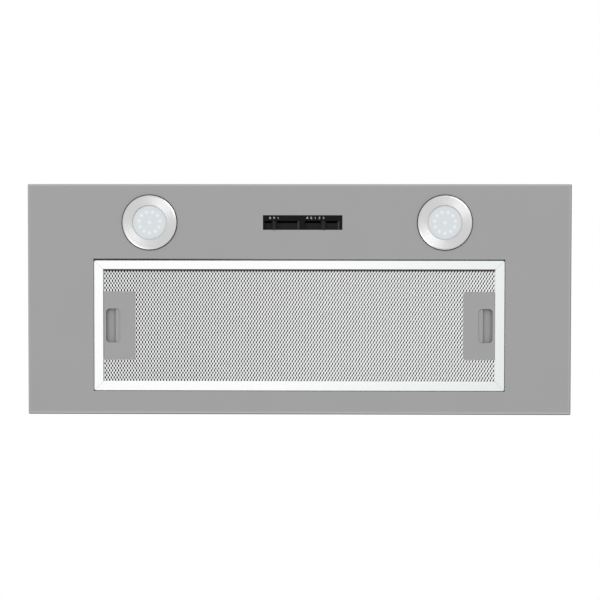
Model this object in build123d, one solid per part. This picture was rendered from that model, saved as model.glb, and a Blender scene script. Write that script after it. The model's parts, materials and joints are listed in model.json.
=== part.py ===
from build123d import *
import math
import os

# Built-in range hood that hangs in a cut-out in the floor of a wall cabinet.
# Millimetres. +Z is up towards the duct, the cook stands on the -Y side, and
# z = 0 is the plane where the face panel's rim meets the underside of the cabinet.

# Shared radial clearance, and how far a cutter runs past the sheet it cuts
FIT_CLEAR = 0.05
CUT_PAST = 1.0

# Face panel, the folded sheet that shows from below
FACE_SHEET = 1.0
RIM_HEIGHT = 12.0
RIM_RETURN = 12.0
RIM_BEND = 1.4
FACE_CORNER = 1.8
SIDE_BAND = 85.0
BACK_BAND = 30.2
LAMP_MARGIN = 13.6
FILTER_MARGIN = 11.6
APERTURE_BEND = 1.2
SEAT_WIDTH = 5.0

# Grease filter
FILTER_WIDTH = 529.0
FILTER_DEPTH = 168.0
FILTER_THICK = 10.0
FILTER_GAP = 0.5
FILTER_GAP_FRONT = 1.4
SEAT_CLEAR = 0.3
RAIL_SHEET = 0.8
RAIL_FLAT = 10.9
RAIL_CURL = 1.6
RAIL_BACK = 11.0
RAIL_EDGE = 1.0
MESH_SHEET = 0.6
MESH_EDGE_CLEAR = 0.2
MESH_PITCH_X = 21.0
MESH_PITCH_Y = 13.0
MESH_GAP_X = 15.0
MESH_GAP_Y = 8.6
PLEAT_PITCH = 12.0
PLEAT_SHEET = 0.4

# Filter latches
COVER_WIDTH = 40.3
COVER_DEPTH = 87.0
COVER_SHEET = 1.2
COVER_CORNER = 3.0
COVER_CLEAR = 0.1
WINDOW_INSET = 2.7
WINDOW_WIDTH = 18.4
WINDOW_DEPTH = 44.0
WINDOW_CORNER = 5.0
CUP_WIDTH = 12.4
CUP_FLOOR = 1.5
CUP_ROUND = 2.0
GRIP_WIDTH = 10.5
LATCH_TRAY_DEPTH = 60.0
LATCH_WALL = 1.2
TONGUE_WIDTH = 22.0
TONGUE_THICK = 1.5
TONGUE_REACH = 4.0
LATCH_CLEAR = 0.3
SPRING_RADIUS = 2.2
SPRING_WIRE = 0.6

# Round lamps
LAMP_PITCH = 380.0
LAMP_SHIFT = -2.6
BEZEL_RADIUS = 34.8
GASKET_SHOWING = 1.1
GASKET_THICK = 0.8
BEZEL_EDGE = 0.8
BEZEL_RISE = 1.8
BEZEL_CREST = 1.6
BEZEL_DISH = 0.7
LENS_OPENING = 22.4
LENS_LIP = 1.4
LENS_THICK = 2.0
LAMP_BODY_RADIUS = 28.0
LAMP_BODY_WALL = 1.5
LAMP_BODY_RISE = 28.0
LAMP_HOLE_CLEAR = 0.6
LAMP_FIT = 0.3
LAMP_SLEEVE = 2.0
LAMP_BOARD_THICK = 1.6
LAMP_BOARD_LIFT = 3.6
LED_SIDE = 2.8
LED_THICK = 0.8
LED_RING = 13.5
LED_COUNT = 11
CLIP_WIDTH = 8.0
CLIP_SHEET = 0.8
CLIP_FOOT = 8.0
CLIP_RISE = 16.0

# Slider switch
SWITCH_WIDTH = 102.3
SWITCH_DEPTH = 18.9
SWITCH_SHIFT = 4.6
SWITCH_OVERLAP = 5.0
SWITCH_RISE = 24.0
SWITCH_WALL = 2.0
LEGEND_DEPTH = 7.2
POCKET_DEPTH = 5.0
POCKET_WIDTH = 44.5
POCKET_MARGIN = 2.0
POCKET_SLOPE = 2.0
POCKET_DIVIDER = 7.4
SLIT_DEPTH = 2.8
SLIDER_LENGTH = 7.0
SLIDER_THICK = 1.5
KNOB_WIDTH = 4.4
KNOB_PROUD = 1.2
STEM_WIDTH = 3.0
MARK_PITCH = 5.2
FAN_STEPS = 3
LIGHT_KNOB = 12.5
FAN_KNOB = 24.0
SLIDER_CLEAR = 0.2
BOARD_THICK = 1.6

# Housing above the cabinet floor
RIM_GAP = 5.0
HOUSING_SHEET = 0.8
HOUSING_BEND = 2.0
PLENUM_HEIGHT = 78.0
FLANGE_CLEAR = 2.0
END_FLANGE = 12.0
SIDE_HOLE_RADIUS = 2.5
SIDE_HOLE_SPACING = 170.0
SIDE_HOLE_HEIGHT = 40.0
BEAD_WIDTH = 9.0
BEAD_RISE = 1.4
BEAD_INSET = 36.0
BEAD_PITCH = 62.0
BEADS = 2

# Blower box on the deck
BOX_WIDTH = 300.0
BOX_FLANGE = 10.0
BOX_CORNER = 4.0
BOX_BEND = 2.0
BOX_EDGE = 3.0
BOX_FRONT_GAP = 10.0

# Blower wheel and scroll
WHEEL_RADIUS = 70.0
WHEEL_WIDTH = 120.0
BLADE_LENGTH = 13.0
BLADE_THICK = 1.2
BLADE_COUNT = 36
BLADE_LEAD = 9.0
WHEEL_DISC = 3.0
WHEEL_RING = 5.0
WHEEL_RING_THICK = 3.0
HUB_RADIUS = 12.0
HUB_LENGTH = 18.0
SCROLL_GAP = 8.0
SCROLL_STEP = 8.0
SCROLL_WALL = 2.0
SCROLL_SIDE_GAP = 4.0
SCROLL_BACK_GAP = 3.0
SCROLL_FLOOR = 14.0
SCROLL_FLANGE_THICK = 3.0
TONGUE_POINT = 24.0
OUTLET_RISE = 92.0
INLET_LIP = 3.0
INLET_OVERLAP = 1.0

# Motor
MOTOR_RADIUS = 42.0
MOTOR_WALL = 2.0
STATOR_LENGTH = 30.0
STATOR_BORE = 24.0
ROTOR_GAP = 0.5
REAR_BELL = 16.0
FRONT_BELL = 14.0
BELL_END = 3.0
SHAFT_RADIUS = 4.0
SHAFT_CLEAR = 0.05
SHAFT_HOLE_GAP = 1.0
BEARING_RADIUS = 8.0
BEARING_WIDTH = 6.0
BEARING_SEAT_WALL = 3.0
SPIDER_SHEET = 3.0
SPIDER_HOLE = 26.0
SPIDER_ARM = 12.0
SPIDER_ARMS = 4
GROMMET_RADIUS = 6.0
GROMMET_THICK = 4.0
GROMMET_GAP = 0.3
GUARD_WIRE = 1.2
GUARD_RINGS = 4

# Duct collar and back-draught flaps
COLLAR_RADIUS = 60.0
COLLAR_WALL = 2.0
COLLAR_HEIGHT = 58.0
COLLAR_FLANGE = 152.0
COLLAR_FLANGE_THICK = 3.0
COLLAR_CORNER = 8.0
COLLAR_SCREW_INSET = 8.0
PIN_RADIUS = 1.5
PIN_HEIGHT = 8.0
PIN_CLEAR = 0.05
KNUCKLE_RADIUS = 3.0
KNUCKLE_LENGTH = 20.0
KNUCKLE_GAP = 2.0
KNUCKLES = 4
FLAP_THICK = 1.2
FLAP_CLEAR = 0.8
LEDGE_WIDTH = 2.5
LEDGE_THICK = 2.0
LEDGE_GAP = 0.3

# Electrics
TERMINAL_GAP = 40.0
TERMINAL_WIDTH = 110.0
TERMINAL_DEPTH = 80.0
TERMINAL_HEIGHT = 36.0
TERMINAL_WALL = 2.0
TERMINAL_EDGE = 12.0
LID_THICK = 2.5
LID_LIP = 1.5
LID_FIT = 0.3
LID_SCREW_INSET = 8.0
TERMINAL_CORNER = 3.0
GLAND_RADIUS = 10.0
GLAND_BORE = 4.0
GLAND_LENGTH = 16.0
GLAND_NUT = 4.0
BLOCK_SIZE = (36.0, 18.0, 14.0)
BLOCK_WAYS = 3
BLOCK_HOLE = 1.75
CAPACITOR_RADIUS = 13.0
CAPACITOR_LENGTH = 52.0
CAPACITOR_GAP = 0.3
DRIVER_SIZE = (66.0, 32.0, 20.0)
DRIVER_GAP = 12.0
DRIVER_CORNER = 3.0
LAMP_LEAD_RADIUS = 2.0
MAIN_LEAD_RADIUS = 3.0
LEAD_GROMMET = 5.0
SWITCH_LEAD_INSET = 24.0
LEAD_CLEAR = 0.1

# Fasteners and cabinet clips
RIVET_RADIUS = 1.6
RIVET_HEAD = 3.2
RIVET_HEAD_RISE = 1.0
RIVET_TAIL = 2.4
RIVET_TAIL_RISE = 1.4
SCREW_RADIUS = 2.0
SCREW_HEAD = 3.8
SCREW_HEAD_RISE = 2.2
SCREW_LENGTH = 9.0
CABINET_CLIP_WIDTH = 34.0
CABINET_CLIP_SHEET = 0.8
CABINET_CLIP_REACH = 7.0
CABINET_BOARD = 18.0

# Levels and plan positions that follow from the sizes above
FACE_Z = -RIM_HEIGHT
FACE_TOP = FACE_Z + FACE_SHEET
GASKET_RADIUS = BEZEL_RADIUS + GASKET_SHOWING
CONTROL_LINE = LAMP_MARGIN + GASKET_RADIUS
FRONT_BAND = CONTROL_LINE + GASKET_RADIUS + FILTER_MARGIN
APERTURE_WIDTH = FILTER_WIDTH + 2 * FILTER_GAP
APERTURE_DEPTH = FILTER_DEPTH + FILTER_GAP + FILTER_GAP_FRONT
FACE_WIDTH = APERTURE_WIDTH + 2 * SIDE_BAND
FACE_DEPTH = FRONT_BAND + APERTURE_DEPTH + BACK_BAND
HALF_WIDTH = FACE_WIDTH / 2
HALF_DEPTH = FACE_DEPTH / 2
APERTURE_X = APERTURE_WIDTH / 2
APERTURE_FRONT = -HALF_DEPTH + FRONT_BAND
APERTURE_BACK = HALF_DEPTH - BACK_BAND
FILTER_FRONT = APERTURE_FRONT + FILTER_GAP_FRONT
FILTER_BACK = APERTURE_BACK - FILTER_GAP
FILTER_Y = (FILTER_FRONT + FILTER_BACK) / 2
FILTER_X = FILTER_WIDTH / 2
CONTROL_Y = -HALF_DEPTH + CONTROL_LINE
LAMP_X = (LAMP_SHIFT - LAMP_PITCH / 2, LAMP_SHIFT + LAMP_PITCH / 2)
HOUSING_INSET = RIM_RETURN + RIM_GAP
HOUSING_X = HALF_WIDTH - HOUSING_INSET
HOUSING_Y = HALF_DEPTH - HOUSING_INSET
HOUSING_FLANGE = BACK_BAND - FACE_SHEET - HOUSING_INSET - FLANGE_CLEAR
DECK_TOP = PLENUM_HEIGHT
DECK_UNDER = DECK_TOP - HOUSING_SHEET

# The scroll is drawn with three tangent quarter arcs round the corners of a small square
SCROLL_R1 = WHEEL_RADIUS + SCROLL_GAP
SCROLL_R2 = SCROLL_R1 + SCROLL_STEP
SCROLL_R3 = SCROLL_R2 + SCROLL_STEP
SCROLL_HALF = WHEEL_WIDTH / 2 + SCROLL_SIDE_GAP + SCROLL_WALL
SCROLL_OUTER_FRONT = SCROLL_R3 + SCROLL_STEP / 2
BOX_X = BOX_WIDTH / 2
BOX_BACK = HOUSING_Y - BOX_FLANGE - BOX_EDGE
AXIS_Y = BOX_BACK - HOUSING_SHEET - SCROLL_BACK_GAP - SCROLL_WALL - SCROLL_R1 - SCROLL_STEP / 2
AXIS_Z = SCROLL_FLOOR + SCROLL_WALL + SCROLL_R2 + SCROLL_STEP / 2
OUTLET_Y = AXIS_Y + (TONGUE_POINT - SCROLL_OUTER_FRONT) / 2
OUTLET_Z = AXIS_Z + OUTLET_RISE
BOX_TOP = OUTLET_Z + HOUSING_SHEET
BOX_FRONT = OUTLET_Y - COLLAR_FLANGE / 2 - BOX_FRONT_GAP
INLET_RADIUS = WHEEL_RADIUS - BLADE_LENGTH - INLET_OVERLAP
SPIDER_TAB_RADIUS = INLET_RADIUS + 2 * INLET_LIP + GROMMET_GAP + GROMMET_RADIUS
COLLAR_BORE = COLLAR_RADIUS - COLLAR_WALL
PIN_Z = BOX_TOP + COLLAR_FLANGE_THICK + PIN_HEIGHT
SPIDER_FACE = -SCROLL_HALF - GROMMET_THICK
STATOR_BACK = SPIDER_FACE + REAR_BELL
STATOR_FRONT = STATOR_BACK + STATOR_LENGTH
MOTOR_FRONT = STATOR_FRONT + FRONT_BELL
TERMINAL_X = BOX_X + TERMINAL_GAP
TERMINAL_Y = -HOUSING_Y + TERMINAL_EDGE
TERMINAL_TOP = DECK_TOP + TERMINAL_HEIGHT
MOTOR_LEAD_Y = BOX_FRONT + HOUSING_SHEET + BOX_FRONT_GAP
MOTOR_LEAD_Z = DECK_TOP + LEAD_GROMMET + BOX_FLANGE / 2


def block(x, y, z):
    """Box between three (low, high) pairs."""
    size = [high - low for low, high in (x, y, z)]
    middle = [(low + high) / 2 for low, high in (x, y, z)]
    return Pos(*middle) * Box(*size)


def rod(axis, place, ends, radius):
    """Round bar along one axis; place holds the other two coordinates."""
    middle = (ends[0] + ends[1]) / 2
    bar = Cylinder(radius, abs(ends[1] - ends[0]))
    if axis == "X":
        return Pos(middle, place[0], place[1]) * Rot(0, 90, 0) * bar
    if axis == "Y":
        return Pos(place[0], middle, place[1]) * Rot(90, 0, 0) * bar
    return Pos(place[0], place[1], middle) * bar


def tube(axis, place, ends, outer, inner):
    return rod(axis, place, ends, outer) - rod(axis, place, ends, inner)


def rounded_tray(x, y, z, corner, bend):
    """Block with rounded upright edges and a rounded bottom rim."""
    body = block(x, y, z)
    body = fillet(body.edges().filter_by(Axis.Z), corner)
    return fillet(body.faces().sort_by(Axis.Z)[0].edges(), bend)


def rounded_hood(x, y, z, corner, bend):
    """Block with rounded upright edges and a rounded top rim."""
    body = block(x, y, z)
    body = fillet(body.edges().filter_by(Axis.Z), corner)
    return fillet(body.faces().sort_by(Axis.Z)[-1].edges(), bend)


def group(solids):
    return Compound(children=solids)


def flipped(shape, x=0.0):
    """Copy mirrored in the upright plane at x."""
    return mirror(shape, about=Plane.YZ.offset(x))


def latch_levels():
    """Heights of the latch pieces above the filter's visible face."""
    plate_back = RAIL_CURL
    plate_face = plate_back - COVER_SHEET
    tray_under = FILTER_THICK - RAIL_SHEET - MESH_SHEET
    tray_floor = tray_under - LATCH_WALL
    bolt_under = tray_floor - LATCH_CLEAR
    bolt_face = plate_back + LATCH_CLEAR
    return plate_face, plate_back, bolt_face, bolt_under, tray_floor, tray_under


def latch_spans():
    """Distances of the latch pieces inward from the filter's side face."""
    start = RAIL_FLAT + RAIL_CURL + COVER_CLEAR
    window = start + WINDOW_INSET
    cup_end = window + CUP_WIDTH
    body = start + LATCH_WALL + LATCH_CLEAR
    grip_end = cup_end + GRIP_WIDTH
    end = start + COVER_WIDTH
    return start, window, cup_end, body, grip_end, end


def left_x(inward):
    return -FILTER_X + inward


def level(height):
    return FACE_Z + height


def face_panel():
    sheet = FACE_SHEET
    outer = rounded_tray(
        (-HALF_WIDTH, HALF_WIDTH), (-HALF_DEPTH, HALF_DEPTH), (FACE_Z, 0), FACE_CORNER, RIM_BEND
    )
    inner = rounded_tray(
        (-HALF_WIDTH + sheet, HALF_WIDTH - sheet),
        (-HALF_DEPTH + sheet, HALF_DEPTH - sheet),
        (FACE_TOP, -sheet),
        FACE_CORNER - sheet,
        RIM_BEND - sheet,
    )
    mouth = block(
        (-HALF_WIDTH + RIM_RETURN, HALF_WIDTH - RIM_RETURN),
        (-HALF_DEPTH + RIM_RETURN, HALF_DEPTH - RIM_RETURN),
        (-2 * sheet, sheet),
    )
    panel = outer - inner - mouth
    seat = level(FILTER_THICK) + SEAT_CLEAR
    lip = block(
        (-APERTURE_X - sheet, APERTURE_X + sheet),
        (APERTURE_FRONT - sheet, APERTURE_BACK + sheet),
        (FACE_Z, seat + sheet),
    )
    bay = block((-APERTURE_X, APERTURE_X), (APERTURE_FRONT, APERTURE_BACK), (FACE_Z - sheet, seat))
    throat = block(
        (-APERTURE_X + SEAT_WIDTH, APERTURE_X - SEAT_WIDTH),
        (APERTURE_FRONT + SEAT_WIDTH, APERTURE_BACK - SEAT_WIDTH),
        (FACE_Z, seat + 2 * sheet),
    )
    panel = panel + lip - bay - throat
    mouth_edges = [
        edge
        for edge in panel.edges()
        if abs(edge.center().Z - FACE_Z) < sheet / 100
        and abs(edge.center().X) < APERTURE_X + sheet / 2
        and abs(edge.center().Y - (APERTURE_FRONT + APERTURE_BACK) / 2) < APERTURE_DEPTH / 2 + sheet / 2
    ]
    panel = fillet(mouth_edges, APERTURE_BEND)
    bolt_under = latch_levels()[3]
    slot_half = TONGUE_WIDTH / 2 + 2 * LATCH_CLEAR
    slot_low = level(bolt_under - TONGUE_THICK - 2 * LATCH_CLEAR)
    slot_high = level(bolt_under + 2 * LATCH_CLEAR)
    slot = block(
        (-APERTURE_X - 2 * sheet, APERTURE_X + 2 * sheet),
        (FILTER_Y - slot_half, FILTER_Y + slot_half),
        (slot_low, slot_high),
    )
    window = block(
        (SWITCH_SHIFT - SWITCH_WIDTH / 2, SWITCH_SHIFT + SWITCH_WIDTH / 2),
        (CONTROL_Y - SWITCH_DEPTH / 2, CONTROL_Y + SWITCH_DEPTH / 2),
        (FACE_Z - sheet, FACE_TOP + sheet),
    )
    panel = panel - slot - window
    for x in LAMP_X:
        hole = LAMP_BODY_RADIUS + LAMP_HOLE_CLEAR
        panel = panel - rod("Z", (x, CONTROL_Y), (FACE_Z - sheet, FACE_TOP + sheet), hole)
    return panel


def rail_profile():
    """Rolled channel: flat face, curled inner edge, outer wall and back flange."""
    t = RAIL_SHEET
    curl = (RAIL_FLAT, RAIL_CURL)
    tip = RAIL_FLAT + RAIL_CURL
    edge = RAIL_EDGE
    top = FILTER_THICK
    outline = [
        Line((edge, 0), (RAIL_FLAT, 0)),
        CenterArc(curl, RAIL_CURL, -90, 90),
        Line((tip, RAIL_CURL), (tip - t, RAIL_CURL)),
        CenterArc(curl, RAIL_CURL - t, -90, 90),
        Line((RAIL_FLAT, t), (t, t)),
        Line((t, t), (t, top - t)),
        Line((t, top - t), (RAIL_BACK, top - t)),
        Line((RAIL_BACK, top - t), (RAIL_BACK, top)),
        Line((RAIL_BACK, top), (edge, top)),
        CenterArc((edge, top - edge), edge, 90, 90),
        Line((0, top - edge), (0, edge)),
        CenterArc((edge, edge), edge, 180, 90),
    ]
    return make_face(outline)


def mitre_prism(corners):
    """Upright prism that trims a rail to its mitred ends."""
    face = Plane.XY.offset(FACE_Z - FILTER_THICK) * make_face(Polyline(*corners, close=True))
    return extrude(face, 3 * FILTER_THICK)


def left_rail():
    plane = Plane((-FILTER_X, FILTER_BACK, FACE_Z), x_dir=(1, 0, 0), z_dir=(0, -1, 0))
    rail = extrude(plane * rail_profile(), FILTER_DEPTH)
    reach = FILTER_DEPTH / 2
    rail = rail & mitre_prism([
        (-FILTER_X, FILTER_FRONT),
        (-FILTER_X + reach, FILTER_Y),
        (-FILTER_X, FILTER_BACK),
    ])
    bolt_under = latch_levels()[3]
    half = TONGUE_WIDTH / 2 + LATCH_CLEAR
    slot = block(
        (-FILTER_X - RAIL_SHEET, -FILTER_X + 2 * RAIL_SHEET),
        (FILTER_Y - half, FILTER_Y + half),
        (level(bolt_under - TONGUE_THICK - LATCH_CLEAR), level(bolt_under + LATCH_CLEAR)),
    )
    return rail - slot


def front_rail():
    plane = Plane((-FILTER_X, FILTER_FRONT, FACE_Z), x_dir=(0, 1, 0), z_dir=(1, 0, 0))
    rail = extrude(plane * rail_profile(), FILTER_WIDTH)
    reach = FILTER_DEPTH / 2
    return rail & mitre_prism([
        (-FILTER_X, FILTER_FRONT),
        (FILTER_X, FILTER_FRONT),
        (FILTER_X - reach, FILTER_Y),
        (-FILTER_X + reach, FILTER_Y),
    ])


def latch_notches(low, high):
    """Room in the mesh for the two latches."""
    end = latch_spans()[-1] + LATCH_CLEAR
    half = LATCH_TRAY_DEPTH / 2 + LATCH_CLEAR
    notch = block((left_x(0), left_x(end)), (FILTER_Y - half, FILTER_Y + half), (low, high))
    return notch + flipped(notch)


def mesh_outline():
    edge = RAIL_SHEET + MESH_EDGE_CLEAR
    return FILTER_WIDTH - 2 * edge, FILTER_DEPTH - 2 * edge


def mesh_sheet(under, notched):
    """Expanded metal drawn as one sheet with staggered diamond gaps."""
    width, depth = mesh_outline()
    open_width = FILTER_WIDTH - 2 * (RAIL_FLAT + RAIL_CURL) - MESH_GAP_X
    open_depth = FILTER_DEPTH - 2 * (RAIL_FLAT + RAIL_CURL) - MESH_GAP_Y
    columns = int(open_width / MESH_PITCH_X)
    rows = int(open_depth / MESH_PITCH_Y)
    latch_end = latch_spans()[-1]
    diamond = make_face(Polyline(
        (-MESH_GAP_X / 2, 0), (0, -MESH_GAP_Y / 2), (MESH_GAP_X / 2, 0), (0, MESH_GAP_Y / 2), close=True
    ))
    gaps = []
    for row in range(rows + 1):
        shift = row % 2
        for column in range(columns + 1 - shift):
            x = (column - (columns - shift) / 2) * MESH_PITCH_X
            y = (row - rows / 2) * MESH_PITCH_Y
            beside = abs(x) + MESH_GAP_X > FILTER_X - latch_end
            if not (beside and abs(y) < COVER_DEPTH / 2 + MESH_GAP_Y):
                gaps.append(Pos(x, y) * diamond)
    net = Rectangle(width, depth) - gaps
    sheet = extrude(Plane((0, FILTER_Y, under)) * net, MESH_SHEET)
    if notched:
        sheet = sheet - latch_notches(under - MESH_SHEET, under + 2 * MESH_SHEET)
    return sheet


def mesh_core():
    """Pleated inner sheet whose folds touch the two outer meshes."""
    width, depth = mesh_outline()
    low = level(RAIL_CURL + MESH_SHEET)
    high = level(FILTER_THICK - RAIL_SHEET - MESH_SHEET)
    folds = int((width - PLEAT_PITCH) / PLEAT_PITCH) * 2
    run = PLEAT_PITCH / 2
    slant = PLEAT_SHEET * math.hypot(run, high - low) / run
    lower = []
    upper = []
    for fold in range(folds + 1):
        x = (fold - folds / 2) * run
        rise = (high - low - slant) * (fold % 2)
        lower.append((x, low + rise))
        upper.append((x, low + rise + slant))
    face = Plane.XZ.offset(-FILTER_Y - depth / 2) * make_face(Polyline(*lower, *upper[::-1], close=True))
    return extrude(face, depth) - latch_notches(low - MESH_SHEET, high + MESH_SHEET)


def left_latch_cover():
    start, window, cup_end, body, grip_end, end = latch_spans()
    plate_face, plate_back = latch_levels()[:2]
    half = COVER_DEPTH / 2
    plate = block(
        (left_x(start), left_x(end)),
        (FILTER_Y - half, FILTER_Y + half),
        (level(plate_face), level(plate_back)),
    )
    plate = fillet(plate.edges().filter_by(Axis.Z).group_by(Axis.X)[-1], COVER_CORNER)
    opening = block(
        (left_x(window), left_x(window + WINDOW_WIDTH)),
        (FILTER_Y - WINDOW_DEPTH / 2, FILTER_Y + WINDOW_DEPTH / 2),
        (level(plate_face - COVER_SHEET), level(plate_back + COVER_SHEET)),
    )
    return plate - fillet(opening.edges().filter_by(Axis.Z), WINDOW_CORNER)


def left_latch_tray():
    start, window, cup_end, body, grip_end, end = latch_spans()
    plate_face, plate_back, bolt_face, bolt_under, tray_floor, tray_under = latch_levels()
    half = LATCH_TRAY_DEPTH / 2
    wall = LATCH_WALL
    outer = block(
        (left_x(start), left_x(end)),
        (FILTER_Y - half, FILTER_Y + half),
        (level(plate_back), level(tray_under)),
    )
    inner = block(
        (left_x(start + wall), left_x(end - wall)),
        (FILTER_Y - half + wall, FILTER_Y + half - wall),
        (level(plate_back - wall), level(tray_floor)),
    )
    slot_half = TONGUE_WIDTH / 2 + LATCH_CLEAR
    slot = block(
        (left_x(start - wall), left_x(start + 2 * wall)),
        (FILTER_Y - slot_half, FILTER_Y + slot_half),
        (level(bolt_under - TONGUE_THICK - LATCH_CLEAR), level(tray_floor)),
    )
    return outer - inner - slot


def left_latch_bolt():
    """Finger cup, grip bar and the tongue that reaches into the panel's slot."""
    start, window, cup_end, body, grip_end, end = latch_spans()
    plate_face, plate_back, bolt_face, bolt_under, tray_floor, tray_under = latch_levels()
    half = LATCH_TRAY_DEPTH / 2 - LATCH_WALL - LATCH_CLEAR
    slab = block(
        (left_x(body), left_x(grip_end)),
        (FILTER_Y - half, FILTER_Y + half),
        (level(bolt_face), level(bolt_under)),
    )
    cup_half = WINDOW_DEPTH / 2 + LATCH_CLEAR
    cup = block(
        (left_x(window - LATCH_CLEAR), left_x(cup_end)),
        (FILTER_Y - cup_half, FILTER_Y + cup_half),
        (level(plate_back), level(bolt_under - CUP_FLOOR)),
    )
    cup = fillet(cup.edges().filter_by(Axis.Y).group_by(Axis.Z)[-1], CUP_ROUND)
    tip = FILTER_GAP + FACE_SHEET + TONGUE_REACH
    tongue = block(
        (left_x(-tip), left_x(body)),
        (FILTER_Y - TONGUE_WIDTH / 2, FILTER_Y + TONGUE_WIDTH / 2),
        (level(bolt_under - TONGUE_THICK), level(bolt_under)),
    )
    return slab - cup + tongue


def left_latch_spring():
    grip_end, end = latch_spans()[-2:]
    bolt_face, bolt_under = latch_levels()[2:4]
    height = level((bolt_face + bolt_under) / 2)
    ends = (left_x(grip_end), left_x(end - LATCH_WALL))
    return tube("X", (FILTER_Y, height), ends, SPRING_RADIUS, SPRING_RADIUS - SPRING_WIRE)


def lamp_levels():
    """Heights of the lamp's pieces: gasket seat, crest, lens and board."""
    seat = FACE_Z - GASKET_THICK
    crest = seat - BEZEL_RISE
    lens_under = crest + BEZEL_DISH + LENS_LIP
    lens_top = lens_under + LENS_THICK
    board = lens_top + LAMP_BOARD_LIFT
    return seat, crest, lens_under, lens_top, board


def sleeve_radii():
    outer = LAMP_BODY_RADIUS - LAMP_BODY_WALL - LAMP_FIT
    return outer, outer - LAMP_SLEEVE


def lamp_bezel(x):
    """Turned ring: low outer edge, raised crest, dished face, lens lip and inner sleeve."""
    seat, crest, lens_under, lens_top, board = lamp_levels()
    outer, inner = sleeve_radii()
    rim = BEZEL_RADIUS
    profile = make_face(Polyline(
        (LENS_OPENING, crest + BEZEL_DISH),
        (rim - BEZEL_CREST, crest),
        (rim, seat - BEZEL_EDGE),
        (rim, seat),
        (outer, seat),
        (outer, board),
        (inner, board),
        (inner, lens_under),
        (LENS_OPENING, lens_under),
        close=True,
    ))
    ring = revolve(Plane.XZ * profile, Axis.Z)
    crest_edge = [edge for edge in ring.edges() if abs(edge.center().Z - crest) < BEZEL_EDGE / 10]
    ring = fillet(crest_edge, BEZEL_EDGE)
    return Pos(x, CONTROL_Y, 0) * ring


def lamp_lens(x):
    seat, crest, lens_under, lens_top, board = lamp_levels()
    radius = sleeve_radii()[1] - LAMP_FIT
    return rod("Z", (x, CONTROL_Y), (lens_under, lens_top), radius)


def lamp_board(x):
    board = lamp_levels()[4]
    return rod("Z", (x, CONTROL_Y), (board, board + LAMP_BOARD_THICK), sleeve_radii()[0])


def lamp_leds(x):
    """One chip in the middle and a ring of chips round it, on the board's underside."""
    board = lamp_levels()[4]
    spots = [(0.0, 0.0)]
    for chip in range(LED_COUNT):
        angle = 2 * math.pi * chip / LED_COUNT + math.pi / 2
        spots.append((LED_RING * math.cos(angle), LED_RING * math.sin(angle)))
    half = LED_SIDE / 2
    return [
        block(
            (x + dx - half, x + dx + half),
            (CONTROL_Y + dy - half, CONTROL_Y + dy + half),
            (board - LED_THICK, board),
        )
        for dx, dy in spots
    ]


def lamp_body(x):
    """Cup that closes the lamp from above."""
    seat = lamp_levels()[0]
    top = seat + LAMP_BODY_RISE
    cup = rod("Z", (x, CONTROL_Y), (seat, top), LAMP_BODY_RADIUS)
    wall = LAMP_BODY_WALL
    hollow = rod("Z", (x, CONTROL_Y), (seat - CUT_PAST, top - wall), LAMP_BODY_RADIUS - wall)
    return cup - hollow


def lamp_gasket(x):
    hole = LAMP_BODY_RADIUS + LAMP_HOLE_CLEAR
    return tube("Z", (x, CONTROL_Y), (FACE_Z - GASKET_THICK, FACE_Z), GASKET_RADIUS, hole)


def lamp_clips(x):
    """Two bent strips that press the lamp down on the sheet."""
    clips = []
    for side in (-1, 1):
        near = x + side * (LAMP_BODY_RADIUS + FIT_CLEAR)
        leg = sorted((near, near + side * CLIP_SHEET))
        foot = sorted((near, near + side * CLIP_FOOT))
        across = (CONTROL_Y - CLIP_WIDTH / 2, CONTROL_Y + CLIP_WIDTH / 2)
        strip = block(leg, across, (FACE_TOP, FACE_TOP + CLIP_RISE))
        strip = strip + block(foot, across, (FACE_TOP, FACE_TOP + CLIP_SHEET))
        clips.append(strip)
    return clips


def pocket_spans():
    """Left and right ends of the two slider pockets."""
    left = SWITCH_SHIFT - SWITCH_WIDTH / 2 + POCKET_MARGIN
    second = left + POCKET_WIDTH + POCKET_DIVIDER
    return (left, left + POCKET_WIDTH), (second, second + POCKET_WIDTH)


def pocket_rows():
    """Front and back of the pockets, behind the legend strip."""
    front = CONTROL_Y - SWITCH_DEPTH / 2 + LEGEND_DEPTH
    return front, CONTROL_Y + SWITCH_DEPTH / 2


def knob_places():
    """Middles of the two knobs at rest, and how far each slides left and right."""
    light, fan = pocket_spans()
    fan_travel = FAN_STEPS * MARK_PITCH
    return (light[0] + LIGHT_KNOB, -MARK_PITCH, MARK_PITCH), (fan[0] + FAN_KNOB, -fan_travel, 0.0)


def switch_top():
    return FACE_TOP + SWITCH_RISE


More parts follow.
